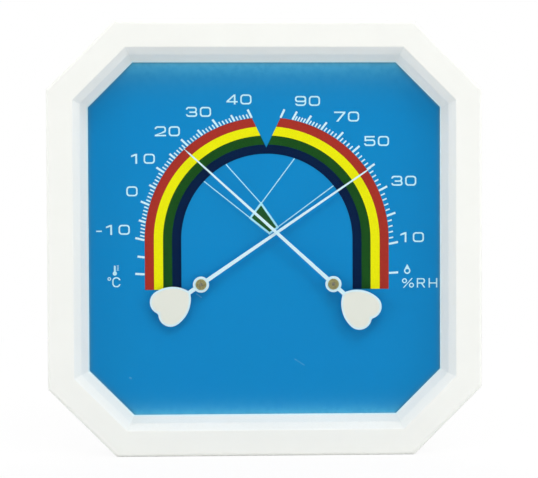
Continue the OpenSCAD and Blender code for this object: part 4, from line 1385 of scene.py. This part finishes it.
@dataclass
class Glazing:
    """Glass pane and the white sloping surround between it and the dial."""

    glass_in: float = 15.4
    glass_back: float = 23.0
    glass_front: float = 25.0
    dial_front: float = 16.0
    ledge: float = 10.5
    flange_t: float = 1.6
    play: float = 0.02
    top_in: float = 16.9
    foot_in: float = 20.1
    toe_in: float = 20.7
    toe_h: float = 0.7
    rear_top_in: float = 16.5
    rear_foot_in: float = 17.8
    rebate_h: float = 21.6
    tab: Spot = (6.0, 4.0)
    tab_mid: float = 107.5
    hole_r: float = 1.6
    bore_r: float = 1.45
    tube_r: float = 2.6
    tube_top: float = 20.4
    screw_head_r: float = 2.7
    screw_head_h: float = 1.7
    screw_r: float = 1.4

    def pane(self) -> None:
        """Makes the glass with its ground edges."""
        loop = CASE.flat_loop(self.glass_in)
        glass = Draft().plate([loop], self.glass_back + self.play, self.glass_front - self.play, 0.3)
        mount(glass.piece("glass_pane", PANE_GLASS, 20), Body.CASE, Slot.GLASS, "glass")

    def slope(self) -> None:
        """Makes the surround with its tabs and bosses."""
        low, high = self.dial_front, self.dial_front + self.flange_t
        profile = [
            (self.glass_in, self.glass_back, 0.1), (self.top_in, self.glass_back, 0.08),
            (self.foot_in, low + self.toe_h, 0.2), (self.toe_in, low, 0.05),
            (self.ledge, low, 0.15), (self.ledge, high, 0.15),
            (self.rear_foot_in, high, 0.4), (self.rear_top_in, self.rebate_h, 0.2),
            (self.glass_in, self.rebate_h, 0.1),
        ]
        surround = Draft().ring(soften(profile, closed=True, steps=3))
        signs = ((1, 1), (-1, 1), (-1, -1), (1, -1))
        for x, y in SURROUND_SCREWS:
            flat = abs(y) > abs(x)
            half = self.tab if flat else self.tab[::-1]
            mid = (x, math.copysign(self.tab_mid, y)) if flat else (math.copysign(self.tab_mid, x), y)
            box = [(mid[0] + sx * half[0], mid[1] + sy * half[1], 1.0) for sx, sy in signs]
            surround.plate([soften(box, closed=True), disc(x, y, self.hole_r)], low, high, 0.15)
        bore, side, top = self.bore_r, self.tube_r, self.tube_top
        tube = [
            (bore, low), (side, low), (side, top - 0.2), (side - 0.2, top),
            (0, top), (0, top - 1.0), (bore, top - 1.2),
        ]
        for place in DIAL_SCREWS + CARRIER_SCREWS:
            surround.lathe(tube, place, wrap=True, steps=28)
        mount(surround.piece("surround_slope", SURROUND_PLASTIC), Body.CASE, Slot.SURROUND_WHITE, "surround")

    def fasteners(self) -> None:
        """Makes the screws of the surround, the dial and the carrier plate."""
        for part, length, places, height in (
            ("surround", 8.0, SURROUND_SCREWS, 16.0),
            ("dial", 4.2, DIAL_SCREWS, 15.2),
            ("carrier", 5.7, CARRIER_SCREWS, 13.7),
        ):
            form = ScrewForm(self.screw_head_r, self.screw_head_h, self.screw_r, length)
            screws(f"{part}_screw_set", form, places, height, f"{part}_screws")

    def build(self) -> None:
        """Makes the pane, the surround and the screws."""
        self.pane()
        self.slope()
        self.fasteners()


@dataclass
class Dial:
    """Blue printed sheet with its inks."""

    back: float = 15.2
    front: float = 16.0
    inset: float = 10.7
    arbor_hole_r: float = 2.6
    screw_hole_r: float = 1.6

    def build(self) -> None:
        """Makes the sheet with its holes and finishes the inks."""
        loops = [CASE.flat_loop(self.inset)]
        loops += [disc(x, ARBOR_Y, self.arbor_hole_r) for x in (TEMP_X, HUMIDITY_X)]
        loops += [disc(x, y, self.screw_hole_r) for x, y in DIAL_SCREWS + CARRIER_SCREWS]
        sheet = Draft().plate(loops, self.back, self.front, 0.1)
        mount(sheet.piece("dial_sheet", DIAL_PRINT), Body.CASE, Slot.DIAL_BLUE, "dial_plate")
        for node, ink in INKS.items():
            dress(node, ink)


@dataclass
class Carrier:
    """Carrier plate behind the dial with the bushes, pillars and bridges of both movements."""

    screw_apart: float = 16

    def build(self) -> None:
        """Finishes the plate, bushes, pillars and bridges, and makes the bridges' screws."""
        dress("carrier_plate", SHEET_STEEL, 0.15)
        dress("front_bushes", BAR_BRASS, 0.1)
        dress("bridge_pillars", BAR_BRASS, 0.12)
        dress("temp_bridge", SHEET_STEEL, 0.12)
        dress("humidity_bridge", SHEET_STEEL, 0.12)
        places = [(x + s * self.screw_apart, ARBOR_Y) for x in (TEMP_X, HUMIDITY_X) for s in (-1, 1)]
        screws("bridge_screw_set", ScrewForm(1.9, 1.1, 1.0, 4.5, pitch=0.6), places, 5.0, "bridge_screws")


@dataclass
class Movement:
    """What the pieces of one scale share: their name and the place of their arbor."""

    name: str
    x: float

    @property
    def centre(self) -> Spot:
        """The arbor's place."""
        return self.x, ARBOR_Y

    def brass(self, part: str) -> TurnedMetal:
        """Returns the brass of a small part that is turned round the arbor."""
        return self.metal(part + "_brass", tone(203, 182, 112), tone(168, 146, 84))

    def metal(self, kind: str, bright: Colour, dull: Colour, **others: float) -> TurnedMetal:
        """Returns a metal that is turned round the arbor."""
        return TurnedMetal(f"{kind}_{self.name}", bright, dull=dull, centre=self.centre, **others)


@dataclass
class Adjuster(Movement):
    """Arm, hub, washer and stud that hold a coil's outer end and set its reading."""

    def build(self) -> None:
        """Finishes the adjuster's pieces."""
        brass = self.brass("hub")
        dress(f"{self.name}_adjuster_arm", SHEET_STEEL, 0.1)
        dress(f"{self.name}_adjuster_hub", brass, 0.08)
        dress(f"{self.name}_adjuster_washer", SPRING_STEEL, 0.05)
        dress(f"{self.name}_coil_stud", brass, 0.1)


@dataclass
class Coil:
    """Spiral strip of one sensor, which winds between the adjuster's stud and the collet."""

    node: str
    slot: Slot
    turns: int
    way: int
    strip: TwoSidedStrip
    start: float = 2.65
    pitch: float = 1.6
    half_t: float = 0.2
    low: float = 7.8
    high: float = 12.2
    chamfer: float = 0.06
    rows_per_turn: int = 60

    def section(self) -> list[Spot]:
        """Draws the strip's section with its broken edges.

        Returns:
            Its points as distances from the strip's middle and heights.
        """
        side, near = self.half_t, self.half_t - self.chamfer
        foot, top = self.low + self.chamfer, self.high - self.chamfer
        return [
            (-near, self.low), (near, self.low), (side, foot), (side, top),
            (near, self.high), (-near, self.high), (-side, top), (-side, foot),
        ]

    def draft(self, x: float) -> tuple[Draft, list[float]]:
        """Winds the strip.

        Args:
            x: The arbor's place to the right.

        Returns:
            The draft, and the length of strip from the inner end to each row of points.
        """
        rows, lengths, walked = [], [], 0.0
        total = self.turns * self.rows_per_turn
        for k in range(total + 1):
            radius = self.start + self.pitch * k / self.rows_per_turn
            angle = math.radians(-90 - 360 * (total - k) / self.rows_per_turn)
            cos, sin = self.way * math.cos(angle), math.sin(angle)
            walked += radius * math.tau / self.rows_per_turn
            lengths.append(walked)
            spots = [((radius + side) * cos, (radius + side) * sin, h) for side, h in self.section()]
            rows.append([Vector((x + px, ARBOR_Y + py, h)) for px, py, h in spots])
        return Draft().skin(rows, capped=True), lengths

    def wind(self, coil: bpy.types.Object, x: float, lengths: Sequence[float]) -> None:
        """Spreads the turn of the coil evenly over the length of its strip.

        Args:
            coil: The coil.
            x: The arbor's place to the right.
            lengths: Length of strip from the inner end to each row of points.
        """
        shares = coil.data.attributes["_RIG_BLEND"]
        for vertex in coil.data.vertices:
            px, py = vertex.co.x * PER_METRE - x, vertex.co.z * PER_METRE + HANG_H - ARBOR_Y
            angle = math.degrees(math.atan2(py, px * self.way))
            part = ((angle + 90) / 360) % 1.0
            turn = round((math.hypot(px, py) - self.start) / self.pitch - part)
            k = min(max(round((turn + part) * self.rows_per_turn), 0), self.turns * self.rows_per_turn)
            shares.data[vertex.index].value = 1.0 - lengths[k] / lengths[-1]


@dataclass
class Hand(Movement):
    """A pointer with its boss, arbor, collet and sensor coil."""

    length: float
    height: float
    angle: float
    coil: Coil
    hub_r: float = 4.3
    root: float = 2.2
    tip: float = 0.8
    tip_l: float = 4.0
    sheet_t: float = 0.5
    boss_r: float = 1.8
    boss_t: float = 0.4
    boss_head_r: float = 2.9
    arbor_r: float = 1.0
    pivot_r: float = 0.6
    pivot_h: float = 5.3
    shoulder_h: float = 7.6

    def outline(self) -> list[Spot]:
        """Draws the pointer's outline, with the hand along x and its arbor at the origin.

        Returns:
            Its points, counter-clockwise.
        """
        half, end = self.root / 2, self.tip / 2
        shoulder = self.length - self.tip_l
        joint = math.degrees(math.asin((half + (end - half) * self.hub_r / shoulder) / self.hub_r))
        neck = 180 - math.degrees(math.asin(half / self.hub_r))
        flank = math.degrees(math.asin((half + HEART.drop) / HEART.flank_r))
        cusp = 180 + math.degrees(math.asin(HEART.side / HEART.lobe_r))
        upper = [(self.length - 0.15, 0.06), (shoulder, end)]
        upper += arc((0, 0), self.hub_r, joint, neck, 24)
        upper += arc((-HEART.reach, -HEART.drop), HEART.flank_r, flank, 90, 20)
        upper += arc((-HEART.reach, HEART.side), HEART.lobe_r, 90, cusp - 7, 22)[1:]
        cleft = (-HEART.reach + HEART.lobe_r * math.cos(math.radians(cusp)) - 0.35, 0.0)
        return [(self.length, 0.0)] + upper + [cleft] + [(x, -y) for x, y in reversed(upper)]

    def fit(self, draft: Draft, part: str, finish: Finish, slot: Slot, node: str) -> None:
        """Fits one of the hand's own pieces.

        Args:
            draft: Its shape.
            part: Its name after the hand's.
            finish: Its finish.
            slot: Its material slot.
            node: The CAD node that it stands for, after the hand's name.
        """
        piece = draft.piece(f"{self.name}_{part}", finish)
        mount(piece, Body(f"{self.name}_hand"), slot, f"{self.name}_{node}")

    def pointer(self) -> None:
        """Makes the pointer: stamped sheet with rolled rims."""
        flat = (self.outline(), disc(0, 0, self.boss_r + 0.02))
        loops = [[turned(spot, self.angle, self.centre) for spot in loop] for loop in flat]
        sheet = Draft().plate(loops, self.height, self.height + self.sheet_t, 0.3, 0.09)
        # The second colour is the arm's own and a painted highlight on the counterweight's rims.
        warm, arm_and_rim_highlight = tone(237, 236, 227), tone(214, 241, 252)
        enamel = Enamel(f"{self.name}_enamel", warm, rim=arm_and_rim_highlight, centre=self.centre, angle=self.angle)
        self.fit(sheet, "hand", enamel, Slot.HAND_WHITE, "pointer")

    def boss(self) -> None:
        """Makes the brass boss that is riveted through the pointer."""
        bright, dull = tone(190, 182, 124), tone(144, 136, 92)
        brass = self.metal("hand_brass", bright, dull, roughness=0.45, tarnish=0.8)
        rear, seat = self.height - 0.7, self.height + self.sheet_t
        front, bore, head = seat + self.boss_t, self.arbor_r + 0.02, self.boss_head_r
        profile = [
            (bore, front - 0.02, 0.1), (head, front, 0.14), (head, seat, 0.05), (self.boss_r, seat, 0),
            (self.boss_r, rear, 0.15), (bore, rear, 0.1),
        ]
        boss = Draft().lathe(soften(profile, closed=True, steps=3), self.centre, wrap=True, steps=56)
        self.fit(boss, "hand_boss", brass, Slot.BRASS, "pointer_boss")

    def arbor(self) -> None:
        """Makes the arbor with its rear pivot and its centred front end."""
        bright, dull = tone(166, 162, 146), tone(128, 124, 104)
        steel = self.metal("arbor_steel", bright, dull, roughness=0.42, tarnish=0.7)
        rear, shoulder, end = self.pivot_h, self.shoulder_h, self.height + self.sheet_t + 0.55
        profile = [
            (0, rear, 0), (self.pivot_r, rear, 0.15), (self.pivot_r, shoulder, 0),
            (self.arbor_r, shoulder, 0.1), (self.arbor_r, end, 0.12), (0.3, end, 0), (0, end - 0.25, 0),
        ]
        arbor = Draft().lathe(soften(profile, steps=3), self.centre, steps=32)
        self.fit(arbor, "arbor_rod", steel, Slot.ARBOR_STEEL, "arbor")

    def sensor(self) -> None:
        """Makes the coil between the adjuster and the hand."""
        draft, lengths = self.coil.draft(self.x)
        coil = draft.piece(f"{self.name}_coil_strip", self.coil.strip)
        axis = Vector(in_frame(*self.centre))
        outside = axis + Vector((0.0, 0.0, -0.02))
        outer, inner = Body(f"{self.name}_adjuster").value, Body(f"{self.name}_hand").value
        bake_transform(coil, outer, inner, start=outside, end=axis)
        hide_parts(self.coil.node)
        self.coil.wind(coil, self.x, lengths)
        LOG.info("%s winds between %s and %s", coil.name, outer, inner)

    def build(self) -> None:
        """Makes the pointer, boss, arbor and coil, and finishes the collet."""
        self.pointer()
        self.boss()
        self.arbor()
        self.sensor()
        dress(f"{self.name}_collet", self.brass("collet"), 0.12)


@dataclass(frozen=True)
class Softbox:
    """A soft rectangular lamp, placed in metres, that looks at the object."""

    name: str
    place: Corner
    size: Spot
    power: float

    def hang(self) -> None:
        """Hangs the lamp."""
        data = bpy.data.lights.new(self.name, "AREA")
        data.shape, data.energy = "RECTANGLE", self.power
        data.size, data.size_y = self.size
        lamp = bpy.data.objects.new(self.name, data)
        lamp.location = self.place
        aim = Vector(in_frame(0.0, 0.0)) - Vector(self.place)
        lamp.rotation_euler = aim.to_track_quat("-Z", "Y").to_euler()
        lamp.visible_camera = False
        bpy.context.scene.collection.objects.link(lamp)


SOFTBOXES = (
    Softbox("top_softbox", (0.25, -1.1, 1.78), (1.8, 0.9), 18.5),
    Softbox("left_softbox", (-2.05, -0.9, 0.25), (1.05, 1.2), 10.8),
    Softbox("right_softbox", (2.05, -0.9, 0.25), (1.05, 1.2), 11.8),
    Softbox("back_softbox", (0.3, 1.3, 0.9), (1.2, 0.9), 8.0),
)


@dataclass
class Studio:
    """Camera, floor, lamps and background; the camera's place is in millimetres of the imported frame."""

    place: Corner = (-12.64, -630.0, -71.57)
    right: Corner = (0.999698, -0.024321, -0.003653)
    up: Corner = (0.004153, 0.020510, 0.999781)
    lens: float = 76.17
    sensor_w: float = 36.0
    floor_h: float = -199.0
    floor_half_m: float = 4.0
    ambient: float = 0.64

    def camera(self) -> None:
        """Places the camera as the photograph was taken."""
        data = bpy.data.cameras.new("camera")
        data.lens, data.sensor_width = self.lens, self.sensor_w
        camera = bpy.data.objects.new("camera", data)
        bpy.context.scene.collection.objects.link(camera)
        right, up = Vector(self.right), Vector(self.up)
        axes = Matrix((right, up, right.cross(up))).transposed().to_4x4()
        camera.matrix_world = Matrix.Translation(Vector(self.place) / PER_METRE) @ axes
        bpy.context.scene.camera = camera

    def floor(self) -> None:
        """Lays the floor that the bottom edge stands on."""
        data = bpy.data.meshes.new("floor")
        bm = bmesh.new()
        bmesh.ops.create_grid(bm, x_segments=8, y_segments=8, size=self.floor_half_m)
        bm.to_mesh(data)
        data.materials.append(StudioFloor("studio_floor", (0.86, 0.86, 0.86)).material())
        floor = bpy.data.objects.new("floor", data)
        floor.location.z = self.floor_h / PER_METRE
        bpy.context.scene.collection.objects.link(floor)

    def world(self) -> None:
        """Sets a white background and a soft light from all round, with the dark room behind the camera."""
        world = bpy.data.worlds.new("studio")
        bpy.context.scene.world = world
        world.use_nodes = True
        world.node_tree.nodes.clear()
        graph = Graph(world.node_tree)
        parts = graph.axes(graph.node("TexCoord").outputs["Generated"])
        above = graph.span(parts["Z"], 0.86, 1.14, -0.8, 0.8)
        room = graph.span(parts["Y"], 0.12, 1.0, -0.97, -0.72)
        strength = graph.math("MULTIPLY", graph.math("MULTIPLY", above, room), self.ambient)
        soft = graph.node("Background", {"Color": (1.0, 1.0, 1.0), "Strength": strength})
        white = graph.node("Background", {"Color": (1.0, 1.0, 1.0), "Strength": 1.0})
        path = graph.node("LightPath").outputs
        behind = graph.span(parts["Y"], 0.0, 1.0, -0.5, 0.1)
        seen = graph.math("MAXIMUM", path["Is Camera Ray"], path["Is Transmission Ray"])
        seen = graph.math("MAXIMUM", seen, graph.math("MULTIPLY", path["Is Glossy Ray"], behind))
        graph.node("OutputWorld", {"Surface": graph.mixed(seen, soft, white).outputs[0]})

    def build(self) -> None:
        """Sets up the studio."""
        self.camera()
        self.floor()
        self.world()
        for softbox in SOFTBOXES:
            softbox.hang()
        bpy.context.scene.view_settings.view_transform = "Standard"
        LOG.info("studio ready")


BIMETAL_STRIP = TwoSidedStrip(
    "bimetal_strip", tone(196, 186, 150), inner=tone(168, 170, 174), centre=(TEMP_X, ARBOR_Y)
)
MOISTURE_STRIP = TwoSidedStrip(
    "moisture_strip", tone(214, 186, 132), inner=tone(176, 178, 180), centre=(HUMIDITY_X, ARBOR_Y),
    outer_metallic=0.0
)
BIMETAL_COIL = Coil("bimetal_coil", Slot.BIMETAL, turns=5, way=1, strip=BIMETAL_STRIP)
MOISTURE_COIL = Coil("moisture_coil", Slot.MOISTURE_STRIP, turns=4, way=-1, strip=MOISTURE_STRIP)


def main() -> None:
    """Builds every sub-assembly."""
    logging.basicConfig(level=logging.INFO, format="%(name)s: %(message)s")
    Studio().build()
    Case().build()
    Glazing().build()
    Dial().build()
    Carrier().build()
    Adjuster("temp", TEMP_X).build()
    Adjuster("humidity", HUMIDITY_X).build()
    Hand("temp", TEMP_X, length=108.0, height=20.0, angle=137.671, coil=BIMETAL_COIL).build()
    Hand("humidity", HUMIDITY_X, length=110.5, height=18.5, angle=34.269, coil=MOISTURE_COIL).build()


if __name__ == "__main__":
    main()
